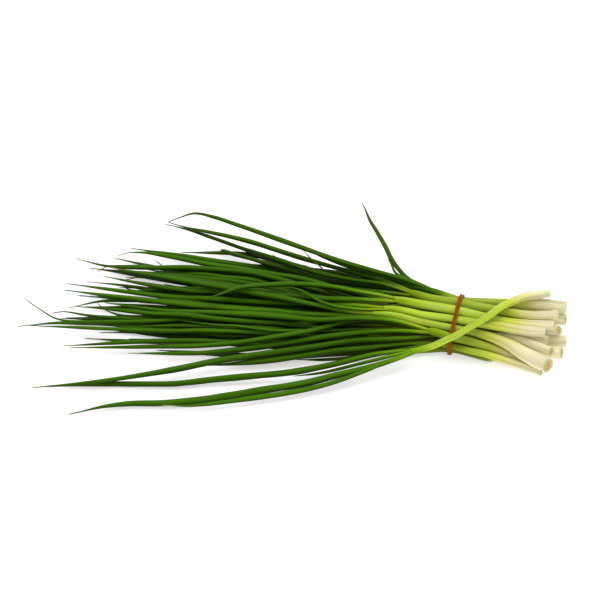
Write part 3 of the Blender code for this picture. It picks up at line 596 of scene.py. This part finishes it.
# Leaves at the heart of the pile, which close gaps between the others: their scallion, width and places
INNER_LEAVES = [
    (1, 4.4, (-43, 44, 22), (-75, 56, 18), (-112, 68, 14), (-150, 80, 9)),
    (1, 5.8, (-28, 31.8, 22.5), (-50, 39, 19.5), (-90, 52, 15), (-140, 67, 8)),
    (1, 5.0, (-27, 32.6, 25), (-40, 37, 23.5), (-60, 45, 21), (-100, 57, 15)),
    (7, 4.2, (-30, -10.5, 4.5), (-50, -10, 3.5), (-90, -11, 3), (-140, -14, 3)),
    (12, 5.8, (-44.5, 30.8, 12), (-51, 30.8, 11.5), (-72, 38, 8), (-110, 52, 5), (-160, 64, 3)),
    (12, 4.4, (-60, 41, 10), (-86, 52, 6), (-120, 64, 4), (-175, 80, 3)),
    (12, 4.2, (-56, 47, 9), (-86, 66, 6), (-125, 84, 4), (-165, 98, 3)),
    (20, 4.6, (-56, 36, 8), (-86, 44, 7), (-130, 56, 5), (-190, 66, 3)),
    (18, 4.4, (-60, 6, 8), (-95, 4, 5), (-150, 2, 3)),
]

# Painted shade darkens what lies under the leaves above: how wide they cover, from how far above, and how many
# places on them make it full, with a place at each step along them
COVER_REACH = 5.0
COVER_RISE = 2.0
COVER_FULL = 5.0
COVER_STEP = 4.0

# Threads are the dried remains of thin leaves: their width and places
THREADS = [
    (1.2, (-109.5, 70.5, 30), (-103, 62, 28), (-95, 55, 25)),
    (0.9, (-109.5, 60, 25), (-103, 56, 24), (-93, 53, 21)),
    (1.1, (-133, 81, 18), (-127, 75, 17), (-119, 67, 16)),
    (0.9, (-222, 84, 10), (-217, 79, 9), (-212, 74, 8)),
]
THREAD_STEPS = 8
# How a thread's radius goes from its tip to its foot, against its width
THREAD_ALONG = (0, 0.25, 1)
THREAD_RADII = (0.12, 0.4, 0.5)

# The band's two strands, as shares of its width and thickness: how far each is off the middle, and half its
# width and height; how square its section is, how far it wanders, and the length of its pattern
STRAND_PLACE = 0.25
STRAND_WIDTH = 0.2
STRAND_HEIGHT = 0.46
STRAND_SQUARENESS = 0.6
STRAND_WANDER = 0.12
BAND_LENGTH = 140


def blur(values, times=2):
    """Rounds the corners of a row of values, and keeps its two ends."""
    for _ in range(times):
        values[1:-1] = 0.25 * values[:-2] + 0.5 * values[1:-1] + 0.25 * values[2:]
    return values


def angles(sides):
    return 2 * math.pi * np.arange(sides) / sides


def outward_at(angle, side, top):
    """The directions at some angles, from sideways towards the top."""
    return np.cos(angle)[..., None] * side + np.sin(angle)[..., None] * top


class Spine:
    """A smooth middle line, with its radius and the directions across and up at each step along it."""

    def __init__(self, line, radius, step):
        chords = lengths_along(line)
        count = max(LEAST_RINGS, int(chords[-1] / step) + 1)
        self.points = curve_through(line, count)
        self.along = np.linspace(0, chords[-1], count)
        self.length = chords[-1]
        self.radius = blur(np.interp(self.along, chords, radius))
        heading = np.gradient(self.points, axis=0)
        self.heading = heading / np.linalg.norm(heading, axis=1)[:, None]
        side = np.cross(UP, self.heading)
        self.side = side / np.linalg.norm(side, axis=1)[:, None]
        self.top = np.cross(self.heading, self.side)

    def at(self, along, values):
        """Values of the spine at any distances along it, and at its ends for those past them."""
        return rows_at(np.clip(along, 0, self.length), self.along, values)

    def place(self, along, angle, reach):
        """Points at a distance along the spine, also past its ends, and at an angle and a reach from it."""
        past = np.maximum(along - self.length, 0)[..., None] * self.heading[-1]
        past = past + np.minimum(along, 0)[..., None] * self.heading[0]
        outward = outward_at(angle, self.at(along, self.side), self.at(along, self.top))
        return self.at(along, self.points) + past + outward * reach[..., None]


def waves(along, rng, size, length):
    """A slow random wave with about the given size and wavelength."""
    total = np.zeros_like(along)
    for share in WAVE_SHARES:
        total += share * np.sin(2 * math.pi * along * rng.uniform(*WAVE_PITCH) / (share * length)
                                + rng.uniform(0, 2 * math.pi))
    return size * total / WAVE_SUM


def add_object(name, data):
    """A new object in the scene."""
    new = bpy.data.objects.new(name, data)
    bpy.context.scene.collection.objects.link(new)
    return new


# What a skin's material reads at each point
VALUES = ("white", "green", "dry", "cap", "tone", "covered")


class Skin:
    """The rings of one piece's tubes, with the values that its material reads."""

    # A tube's strip of the square: where its sides start and how far they go, along the strip and over it,
    # and the places and sizes of its ends, small ovals beside them
    ALONG_STRIP = (0.02, 0.96)
    OVER_STRIP = (0.05, 0.9)
    END_PLACES = (0.005, 0.995)
    END_SIZE = (0.003, 0.4)

    def __init__(self):
        self.points, self.faces, self.strips, self.grain = [], [], [], []
        self.values = {name: [] for name in VALUES}
        self.count = 0

    def add_tube(self, rings, grain, looped=False, **values):
        """A closed tube, or a looped one, from rings of points. Values that aren't given are 0."""
        steps, sides = rings.shape[:2]
        self.points.append(rings.reshape(-1, 3))
        self.grain.append(grain.reshape(-1, 3))
        for name in VALUES:
            self.values[name].append(np.broadcast_to(values.get(name, 0.0), (steps, sides)).reshape(-1))
        spots = self.count + np.arange(steps * sides).reshape(steps, sides)
        corners = [spots, np.roll(spots, -1, 1), np.roll(spots, (-1, -1), (0, 1)), np.roll(spots, -1, 0)]
        quads = np.stack(corners, axis=-1)[: steps if looped else -1]
        self.faces += quads.reshape(-1, 4).tolist()
        if not looped:
            self.faces += [spots[0, ::-1].tolist(), spots[-1].tolist()]
        self.strips.append((steps, sides, looped))
        self.count += steps * sides

    def strip_layout(self):
        """Each tube as a strip of its own across the square, so that no two parts share a spot."""
        spots = []
        height = 1 / len(self.strips)
        (left, width), (low, rise), (half, tall) = self.ALONG_STRIP, self.OVER_STRIP, self.END_SIZE
        for number, (steps, sides, looped) in enumerate(self.strips):
            base = number * height
            spans = steps if looped else steps - 1
            for i in range(spans):
                for k in range(sides):
                    for u, v in ((i, k), (i, k + 1), (i + 1, k + 1), (i + 1, k)):
                        spots.append((left + width * u / spans, base + height * (low + rise * v / sides)))
            for end in () if looped else self.END_PLACES:
                for turn in angles(sides):
                    up = 0.5 + tall * math.sin(turn)
                    spots.append((end + half * math.cos(turn), base + height * up))
        return spots

    def piece(self, name, material):
        points = np.concatenate(self.points)
        points[:, 2] = np.maximum(points[:, 2], LOWEST)
        mesh = bpy.data.meshes.new(name)
        mesh.from_pydata((points * MM).tolist(), [], self.faces)
        for value, rows in self.values.items():
            mesh.attributes.new(value, "FLOAT", "POINT").data.foreach_set("value", np.concatenate(rows))
        grain = mesh.attributes.new("grain", "FLOAT_VECTOR", "POINT")
        grain.data.foreach_set("vector", np.concatenate(self.grain).reshape(-1))
        layout = mesh.uv_layers.new(name="OFBake")
        layout.data.foreach_set("uv", np.array(self.strip_layout(), np.float32).reshape(-1))
        mesh.materials.append(material)
        mesh.shade_smooth()
        mesh.set_sharp_from_angle(angle=SHARP_EDGE)
        return add_object(name, mesh)


def grain_of(along, angle, rng, radius=3.0):
    """Where a spot is on the skin, round it and along it, so that noise runs lengthwise."""
    shift = rng.uniform(0, 500)
    return np.stack([radius * np.cos(angle), radius * np.sin(angle), along + shift], axis=-1)


def grid(along, sides):
    """Distances and angles of rings of points."""
    return np.repeat(along[:, None], sides, axis=1), np.repeat(angles(sides)[None], len(along), axis=0)


def add_thread(skin, line, radii, step, grain_radius, rng, **values):
    """A thin round tube along a line."""
    spine = Spine(line, radii, step)
    along, angle = grid(spine.along, THREAD_SIDES)
    rings = spine.place(along, angle, np.repeat(spine.radius[:, None], THREAD_SIDES, axis=1))
    skin.add_tube(rings, grain_of(along, angle, rng, grain_radius), **values)


def cover_of(spine, crowd):
    """How much the leaves and stems above cover each step of the spine, up to 1: how much painted shade it
    gets.
    """
    away = crowd[None] - spine.points[:, None]
    near = np.exp(-(away[..., 0] ** 2 + away[..., 1] ** 2) / COVER_REACH**2)
    total = np.sum(near * (away[..., 2] > COVER_RISE), axis=1)
    return blur(np.clip(total / COVER_FULL, 0, 1), 4)


def sheath_reach(spine, leaves, start):
    """How far the stem's skin reaches in each direction, so that it wraps the roots of its leaves."""
    reach = np.repeat(spine.radius[:, None], STEM_RING_SIDES, axis=1)
    for i in np.nonzero(spine.along > spine.length - SHEATH_START)[0]:
        wrap = np.clip((spine.along[i] - spine.length + SHEATH_START) / SHEATH_EASE, 0, 1)
        outward = outward_at(angles(STEM_RING_SIDES), spine.side[i], spine.top[i])
        for leaf in leaves:
            s = spine.along[i] - start
            if s < 0:
                continue
            centre = leaf.at(np.array(s), leaf.points) - spine.points[i]
            wall = SHEATH_WALL * np.clip((spine.length - spine.along[i]) / SHEATH_DEPTH, LIP_WALL, 1)
            radius = np.interp(s, leaf.along, leaf.radius) + wall
            facing = outward @ centre
            inside = radius**2 - centre @ centre + facing**2
            far = facing + np.sqrt(np.maximum(inside, 0))
            reach[i] = np.maximum(reach[i], wrap * np.where(inside > 0, far, 0))
        for _ in range(3):
            reach[i] = 0.25 * np.roll(reach[i], 1) + 0.5 * reach[i] + 0.25 * np.roll(reach[i], -1)
    return reach


def add_stem(skin, scallion, spine, leaves, start, rng, tone, crowd):
    """The bulb's cut end, the stem, and the sheath that opens round the leaves."""
    reach = sheath_reach(spine, leaves, start)
    slant = rng.uniform(*LIP_SLANT)
    turned = rng.uniform(-LIP_TURN, LIP_TURN) + math.pi / 2
    share = np.linspace(0, 1, len(spine.along))
    along, angle = grid(spine.along, STEM_RING_SIDES)
    lip = spine.length - LIP_BACK + slant * (np.cos(angle[0] - turned) - 1) * 0.5
    lean = smooth_between(spine.along, spine.length - LIP_LEAN, spine.length)[:, None]
    along = along * (1 - lean) + lean * share[:, None] * lip
    slope = CUT_SLOPE.get(scallion, rng.uniform(*OTHER_SLOPE))
    outward = outward_at(angle[0], spine.side[0], spine.top[0])
    facing = outward @ TO_CAMERA
    along = along + slope * reach[0] * facing * np.clip(1 - along / SLOPE_REACH, 0, 1)
    column = np.arange(STEM_RING_SIDES)
    wide = np.stack([np.interp(along[:, k], spine.along, reach[:, k]) for k in column], axis=1)
    turn_length, swell_length = RIB_WAVES
    ribs = RIB_HEIGHT * np.sin(RIBS * angle + waves(along, rng, 1.0, turn_length))
    swell = waves(along, rng, RIB_HEIGHT, swell_length)
    outer = spine.place(along, angle, wide * (1 + ribs + swell))

    inside = np.array(INSIDE_RINGS)
    inner_wide = wide[-1] - inside[:, 1:] * SHEATH_WALL
    inner_along = along[-1] - inside[:, :1]
    inner = spine.place(inner_along, angle[: len(inside)], inner_wide)

    cut = np.array(CUT_RINGS)
    size, lobes = CUT_LOBES
    cut_reach = cut[:, :1] * wide[0] * (1 + size * np.sin(lobes * angle[0] + rng.uniform(0, 6)))
    cut_along = -cut[:, 1:] + slope * cut_reach * facing
    face = spine.points[0] + cut_along[..., None] * spine.heading[0] + outward * cut_reach[..., None]

    rings = np.concatenate([face, outer, inner])
    lengthwise = np.concatenate([cut_along, along, inner_along])
    around = np.repeat(angle[:1], len(rings), axis=0)
    white_reach = WHITE_REACH_OF.get(scallion, rng.uniform(*WHITE_REACH))
    white = np.clip(1 - lengthwise / white_reach, 0, 1)
    greening, greenest = GREEN_REACH_OF.get(scallion, GREEN_REACH)
    green = greenest * smooth_between(lengthwise, spine.length - greening, spine.length)
    cap = np.zeros_like(lengthwise)
    cap[: len(cut)] = 1 - cut[:, :1]
    grain = grain_of(lengthwise, around, rng)
    # Painted shade on the stem under the leaves and stems above it
    covered = np.interp(lengthwise, spine.along, cover_of(spine, crowd))
    skin.add_tube(rings, grain, white=white, green=green, cap=cap, tone=tone, covered=covered)
    add_stubs(skin, spine, wide[0].mean(), slope, rng)


def add_stubs(skin, spine, radius, slope, rng):
    """Stubs of the trimmed roots, round the middle of the cut."""
    for _ in range(rng.integers(*STUBS)):
        turn = rng.uniform(0, 2 * math.pi)
        outward = math.cos(turn) * spine.side[0] + math.sin(turn) * spine.top[0]
        away = radius * rng.uniform(*STUB_PLACE)
        foot = spine.points[0] + outward * away + spine.heading[0] * slope * away * (outward @ TO_CAMERA)
        length = rng.uniform(*STUB_LENGTH)
        lean = outward * rng.uniform(*STUB_LEAN) - spine.heading[0]
        line = np.array([foot, foot + 0.5 * length * lean, foot + (length + STUB_TIP) * lean])
        add_thread(skin, line, STUB_RADII, STUB_RING_STEP, 0.5, rng, cap=0.75, white=1.0)


def add_leaf(skin, spine, start, rng, first, greening, tone, dry, crowd):
    """A round leaf, a little flattened and ribbed, that turns slowly on its way to a fine tip."""
    along, angle = grid(spine.along, LEAF_RING_SIDES)
    turn = rng.uniform(-LEAF_TURN, LEAF_TURN) + waves(spine.along, rng, *TURN_WAVE)
    flat = rng.uniform(*LEAF_FLATNESS) + waves(spine.along, rng, *FLATNESS_WAVE)
    power = rng.uniform(*LEAF_SQUARENESS)
    facing = angle - turn[:, None]
    thin = np.abs(np.sin(facing)) / flat[:, None]
    section = (np.abs(np.cos(facing)) ** power + thin**power) ** (-1 / power)
    reach = spine.radius * (1 + waves(spine.along, rng, *WIDTH_WAVE))
    to_tip = spine.length - spine.along
    reach = reach * np.sqrt(np.clip(to_tip / TIP_LENGTH, TIP_SHARE, 1))
    rings = spine.place(along, angle, section * reach[:, None])
    green = first + (1 - first) * smooth_between(along - start, 0, greening)
    dried = dry * smooth_between(along - spine.length, *DRY_REACH)
    grain = grain_of(along, facing, rng)
    # Painted shade on the leaf under the leaves and stems above it
    covered = cover_of(spine, crowd)[:, None]
    skin.add_tube(rings, grain, green=green, dry=dried, tone=tone, covered=covered)


def plant_piece(scallion, own, shift, rng, material, crowd):
    """One scallion as one piece: its stem, and its leaves from inside the sheath to their tips."""
    skin = Skin()
    line = own[0].line + shift
    ahead = line[1] - line[0]
    line[0] += ahead * CUT_SHORT_OF.get(scallion, 0) / np.linalg.norm(ahead)
    stem = Spine(line, own[0].radius, STEM_RING_STEP)
    leaves = [Spine(s.line + shift, s.radius, LEAF_RING_STEP) for s in own[1:]]
    start = stem.length * (1 - 1 / STEM_STEPS)
    plant_tone = rng.uniform(-1, 1)
    add_stem(skin, scallion, stem, leaves, start, rng, plant_tone, crowd)
    first = GREEN_REACH_OF.get(scallion, GREEN_REACH)[1]
    for number, leaf in enumerate(leaves):
        greening = GREENING[min(number, 1)]
        tone = PLANT_TONE * plant_tone + (1 - PLANT_TONE) * rng.uniform(-1, 1)
        dries = rng.uniform() < DRY_CHANCE and (scallion, number) not in SNAPPED
        dry = rng.uniform(*DRYNESS) if dries else 0.0
        add_leaf(skin, leaf, stem.length - start, rng, first, greening, tone, dry, crowd)
    return skin.piece(f"plant_{scallion:02d}", material)


def threads_piece(shift, rng, material):
    """Thin dried leaf ends that stand out of the pile."""
    skin = Skin()
    for width, *places in THREADS:
        line = curve_through(places, THREAD_STEPS) + shift
        radii = np.interp(np.linspace(0, 1, THREAD_STEPS), THREAD_ALONG, THREAD_RADII) * width
        add_thread(skin, line, radii, THREAD_RING_STEP, 0.6, rng, green=0.9, dry=0.1, tone=-0.8)
    return skin.piece("dried_threads", material)


def squared(values):
    """A circle's cosines or sines, changed to those of a rounded square."""
    return np.sign(values) * np.abs(values) ** STRAND_SQUARENESS


def band_piece(strands, shift, rng, material):
    """The rubber band, wound twice: two strands side by side round the tied stems."""
    skin = Skin()
    loop = tied_section(strands, BAND_RING_STEPS)
    ahead = np.roll(loop, -1, axis=0) - np.roll(loop, 1, axis=0)
    outward = np.stack([ahead[:, 1], -ahead[:, 0]], axis=1) / np.linalg.norm(ahead, axis=1)[:, None]
    turn = angles(BAND_RING_SIDES)
    for strand in (-1, 1):
        wander = STRAND_WANDER * np.sin(angles(BAND_RING_STEPS) + strand)
        middle = STRAND_PLACE * BAND_WIDTH * strand + wander
        wide = middle[:, None] + STRAND_WIDTH * BAND_WIDTH * squared(np.cos(turn))
        high = STRAND_HEIGHT * BAND_THICKNESS * squared(np.sin(turn))
        section = loop[:, None, :] + outward[:, None, :] * high[None, :, None]
        rings = ACROSS * section[..., :1] + UP * section[..., 1:] + AXIS * wide[..., None] + shift
        along, angle = grid(np.linspace(0, BAND_LENGTH, BAND_RING_STEPS), BAND_RING_SIDES)
        skin.add_tube(rings, grain_of(along, angle, rng), looped=True)
    return skin.piece("wound_band", material)


class Shading:
    """A material's nodes, each added and linked in one call."""

    # Noise is mostly between these values
    NOISE_SPAN = (0.3, 0.7)

    def __init__(self, name):
        self.material = bpy.data.materials.new(name)
        self.material.use_nodes = True
        self.tree = self.material.node_tree

    def feed(self, node, inputs):
        for key, value in inputs.items():
            if isinstance(value, bpy.types.NodeSocket):
                self.tree.links.new(value, node.inputs[key])
            else:
                node.inputs[key].default_value = value

    def shaded(self, inputs):
        """The material, with its shader's inputs set."""
        self.feed(self.tree.nodes["Principled BSDF"], inputs)
        return self.material

    def node(self, kind, inputs, out=0, **settings):
        node = self.tree.nodes.new("ShaderNode" + kind)
        for name, value in settings.items():
            setattr(node, name, value)
        self.feed(node, inputs)
        return node.outputs[out]

    def value(self, name):
        return self.node("Attribute", {}, "Fac", attribute_name=name)

    def noise(self, across, lengthwise, detail):
        """Noise on the skin, by how fast it changes across the skin and lengthwise."""
        spot = self.node("Attribute", {}, "Vector", attribute_name="grain")
        spot = self.node("Mapping", {"Vector": spot, "Scale": (across, across, lengthwise)})
        return self.node("TexNoise", {"Vector": spot, "Scale": 1.0, "Detail": detail})

    def fit(self, value, low, high, start=0.0, end=1.0):
        return self.node("MapRange", {0: value, 1: low, 2: high, 3: start, 4: end}, clamp=True)

    def spread(self, noise, start, end):
        return self.fit(noise, *self.NOISE_SPAN, start, end)

    def between(self, share, a, b):
        return self.node("Mix", {0: share, 2: a, 3: b}, 0)

    def mix(self, share, a, b, kind="MIX"):
        return self.node("Mix", {0: share, 6: a, 7: b}, 2, data_type="RGBA", blend_type=kind)

    def shade(self, colour, share):
        """A colour times a number."""
        return self.mix(1.0, colour, self.node("CombineXYZ", {0: share, 1: share, 2: share}), "MULTIPLY")

    def plus(self, a, b):
        return self.node("Math", {0: a, 1: b}, operation="ADD")

    def times(self, a, b):
        return self.node("Math", {0: a, 1: b}, operation="MULTIPLY")

    def ramp(self, value, stops):
        node = self.tree.nodes.new("ShaderNodeValToRGB")
        elements = node.color_ramp.elements
        while len(elements) < len(stops):
            elements.new(0.5)
        for element, (position, colour) in zip(elements, stops):
            element.position = position
            element.color = colour
        self.feed(node, {0: value})
        return node.outputs[0]


def tint(red, green, blue):
    """A colour from its 0 to 255 screen values."""
    shares = [channel / 255 for channel in (red, green, blue)]
    return (*[s / 12.92 if s <= 0.04045 else ((s + 0.055) / 1.055) ** 2.4 for s in shares], 1.0)


def stops(*rows):
    """The stops of a ramp, each from its position and its colour's three values."""
    return [(position, tint(*colour)) for position, *colour in rows]


# The skin's colours from the middle of the stem to the cut end, by how white it is
TOWARDS_CUT = stops((0.0, 172, 194, 62), (0.3, 184, 201, 68), (0.42, 192, 203, 66), (0.52, 206, 208, 96),
                    (0.64, 224, 219, 150), (0.8, 234, 228, 186), (1.0, 234, 226, 188))
# The skin's colours from the stem through the split to the leaf's tip, by how green it is
TOWARDS_TIP = stops((0.0, 172, 194, 62), (0.16, 164, 188, 36), (0.3, 138, 168, 10), (0.45, 100, 144, 0),
                    (0.65, 74, 120, 0), (1.0, 52, 96, 0))
# The colours of the cut end, from its edge to its middle
ACROSS_CUT = stops((0.0, 214, 206, 160), (0.05, 178, 160, 96), (0.1, 224, 214, 166), (0.22, 222, 208, 152),
                   (0.25, 180, 152, 86), (0.28, 220, 206, 150), (0.4, 216, 198, 138), (0.43, 168, 134, 70),
                   (0.47, 212, 190, 126), (0.76, 212, 190, 128), (0.84, 180, 130, 66), (0.92, 190, 118, 48),
                   (1.0, 150, 82, 30))
DRY = tint(196, 182, 120)
BLOOM = tint(186, 200, 140)
RUBBER = stops((0.0, 92, 46, 0), (0.5, 142, 78, 2), (1.0, 180, 108, 16))

# Where skin counts as white, and where as green
WHITE_SPAN = (0.3, 0.7)
GREEN_SPAN = (0.1, 0.6)
# The darkest and the lightest plants, in their green and in their white
GREEN_TONES = (0.74, 1.3)
WHITE_TONES = (0.96, 1.04)
# Painted shade and painted light on a leaf's skin: dark below and light on its sunny upper side, between these
# slopes of the surface
LEAF_SLOPES = (-0.2, 0.8)
LEAF_SHADES = (0.3, 1.12)
# What the others cover gets painted shade, down to this share for green skin and for the white of the bulbs
COVER_SHADE = 0.36
COVER_SHADE_WHITE = 0.94
# Green skin tints its own gloss
GLOSS_TINT = (0.8, 1.0, 0.25, 1.0)


def skin_material():
    s = Shading("scallion_skin")
    white, green, dry, cap, tone, covered = [s.value(name) for name in VALUES]
    broad = s.noise(0.25, 0.02, 3.0)
    veins = s.noise(1.6, 0.02, 3.0)
    fine = s.noise(5.0, 0.12, 2.0)
    whiteness = s.fit(white, *WHITE_SPAN)

    edge = s.spread(s.noise(0.35, 0.05, 2.0), -0.05, 0.05)
    bulb_colour = s.ramp(s.plus(white, edge), TOWARDS_CUT)
    leaf_colour = s.ramp(s.plus(green, edge), TOWARDS_TIP)
    colour = s.mix(s.fit(green, 0.0, 0.04), bulb_colour, leaf_colour)
    shade = s.times(s.spread(broad, 0.84, 1.14), s.spread(veins, 0.84, 1.12))
    shade = s.times(shade, s.spread(fine, 0.95, 1.05))
    green_tone, white_tone = [s.fit(tone, -1.0, 1.0, *tones) for tones in (GREEN_TONES, WHITE_TONES)]
    colour = s.shade(colour, s.times(shade, s.between(whiteness, green_tone, white_tone)))

    patches = s.fit(s.noise(0.45, 0.03, 4.0), 0.5, 0.68, 0.0, 0.26)
    bloomed = s.times(patches, s.fit(white, 0.05, 0.4, 1.0, 0.2))
    colour = s.mix(s.times(bloomed, s.fit(green, 0.25, 0.6, 1.0, 0.02)), colour, BLOOM)
    colour = s.mix(s.times(dry, s.fit(fine, 0.3, 0.6, 0.6, 1.0)), colour, DRY)

    # Painted shade and painted light on the leaves: darker where the surface faces down, lighter where it faces
    # up
    upward = s.node("SeparateXYZ", {0: s.node("NewGeometry", {}, "Normal")}, "Z")
    under = s.between(s.fit(green, *GREEN_SPAN), 1.0, s.fit(upward, *LEAF_SLOPES, *LEAF_SHADES))
    # Painted shade where the others cover the skin, weaker on the white of the bulbs
    full_painted_shade = s.between(whiteness, COVER_SHADE, COVER_SHADE_WHITE)
    colour = s.shade(colour, s.times(under, s.between(covered, 1.0, full_painted_shade)))

    streaks = s.spread(s.noise(2.4, 0.0, 2.0), 0.82, 1.1)
    colour = s.mix(s.fit(cap, 0.0, 0.02), colour, s.shade(s.ramp(cap, ACROSS_CUT), streaks))
    height = s.plus(veins, s.times(fine, 0.4))
    return s.shaded({
        "Base Color": colour,
        "Roughness": s.spread(broad, 0.4, 0.56),
        "Specular IOR Level": 0.18,
        "Specular Tint": GLOSS_TINT,
        "Subsurface Weight": 0.2,
        "Subsurface Radius": (1.0, 0.9, 0.4),
        "Subsurface Scale": 0.0015,
        "Normal": s.node("Bump", {"Strength": 0.25, "Distance": 0.0004, "Height": height}),
    })


def rubber_material():
    s = Shading("brown_rubber")
    specks = s.noise(1.5, 1.5, 4.0)
    streaks = s.noise(1.2, 0.08, 3.0)
    return s.shaded({
        "Base Color": s.ramp(s.plus(s.spread(specks, 0.0, 0.4), s.spread(streaks, 0.0, 0.6)), RUBBER),
        "Roughness": s.spread(specks, 0.5, 0.66),
        "Specular IOR Level": 0.14,
        "Normal": s.node("Bump", {"Strength": 0.3, "Distance": 0.0003, "Height": specks}),
    })


# The stage: a white floor, a white sky, and soft lights above and behind the bunch
FLOOR_SIZE = 4.0
FLOOR_GREY = 0.73
FLOOR_GLOW = 0.5
SKY_STRENGTH = 0.52
WHITE = (1.0, 1.0, 1.0, 1.0)
# Each light's place, what it points at, its size and its power
LIGHTS = {
    "key": ((-0.05, 0.4, 1.3), (0.0, 0.0, 0.0), 1.3, 11.4),
    "fill": ((0.7, -1.1, 0.9), (0.1, 0.0, 0.0), 1.2, 5.0),
}

# The camera's distance, as with a long lens, and the photograph's side and scale
CAMERA_DISTANCE = 1250
PHOTO_SIDE = 600
MM_PER_PIXEL = 0.72
SENSOR = 36
# The height of the band's top, and the pixels from it to the photograph's middle, to the left and upward
BAND_TOP_HEIGHT = 17
BAND_TOP_OFFSET = (155, 25)


def add_stage():
    bpy.context.scene.view_settings.view_transform = "Standard"
    bpy.ops.mesh.primitive_plane_add(size=FLOOR_SIZE)
    floor = bpy.context.object
    floor.name = "floor"
    floor.data.materials.append(Shading("floor_white").shaded({
        "Base Color": (FLOOR_GREY, FLOOR_GREY, FLOOR_GREY, 1.0),
        "Roughness": 0.9,
        "Emission Color": WHITE,
        "Emission Strength": FLOOR_GLOW,
        "Specular IOR Level": 0.0,
    }))
    world = bpy.data.worlds.new("white_sky")
    world.use_nodes = True
    sky = world.node_tree.nodes["Background"].inputs
    sky["Color"].default_value = WHITE
    sky["Strength"].default_value = SKY_STRENGTH
    bpy.context.scene.world = world
    for name, (place, target, size, power) in LIGHTS.items():
        data = bpy.data.lights.new(name, "AREA")
        data.size = size
        data.energy = power
        light = add_object(name, data)
        light.location = place
        light.rotation_euler = (Vector(target) - Vector(place)).to_track_quat("-Z", "Y").to_euler()


def add_camera(shift):
    data = bpy.data.cameras.new("camera")
    data.sensor_width = SENSOR
    data.lens = SENSOR * CAMERA_DISTANCE / (MM_PER_PIXEL * PHOTO_SIDE)
    camera = add_object("camera", data)
    up = np.array([0, math.sin(CAMERA_PITCH), math.cos(CAMERA_PITCH)])
    left, above = BAND_TOP_OFFSET
    place = shift + BAND_TOP_HEIGHT * UP + TO_CAMERA * CAMERA_DISTANCE
    place = place + MM_PER_PIXEL * (above * up - left * np.array([1.0, 0, 0]))
    camera.location = place * MM
    camera.rotation_euler = (math.pi / 2 - CAMERA_PITCH, 0, 0)
    bpy.context.scene.camera = camera


def main():
    strands = design()
    pile = Pile(strands)
    pile.relax()
    pile.hand_back()
    low = np.min([np.min(s.line - s.radius[:, None], axis=0) for s in strands], axis=0)
    high = np.max([np.max(s.line + s.radius[:, None], axis=0) for s in strands], axis=0)
    shift = np.array([-0.5 * (low[0] + high[0]), -0.5 * (low[1] + high[1]), 0])
    for scallion, width, *places in INNER_LEAVES:
        stem = next(s for s in strands if s.scallion == scallion)
        route = curve_through([*stem.line[-2:], *places], LEAF_STEPS + 1, CROWDING)
        strands.append(Strand(scallion, route, leaf_radius(width), False, stem))
    crowd = np.concatenate([Spine(s.line + shift, s.radius, COVER_STEP).points for s in strands])
    add_camera(shift)
    add_stage()
    skin = skin_material()
    pieces = []
    for scallion in SCALLIONS:
        own = [s for s in strands if s.scallion == scallion]
        rng = np.random.default_rng(DRESS_SEED + scallion)
        plant = plant_piece(scallion, own, shift, rng, skin, crowd)
        pieces.append((plant, f"scallion_{scallion:02d}", "leaf_green"))
    rng = np.random.default_rng(DRESS_SEED)
    pieces.append((band_piece(strands, shift, rng, rubber_material()), "rubber_band", "band_rubber"))
    for piece, node, slot in pieces:
        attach(piece, "root")
        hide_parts(node)
    threads = threads_piece(shift, rng, skin)
    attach(threads, "root")


main()
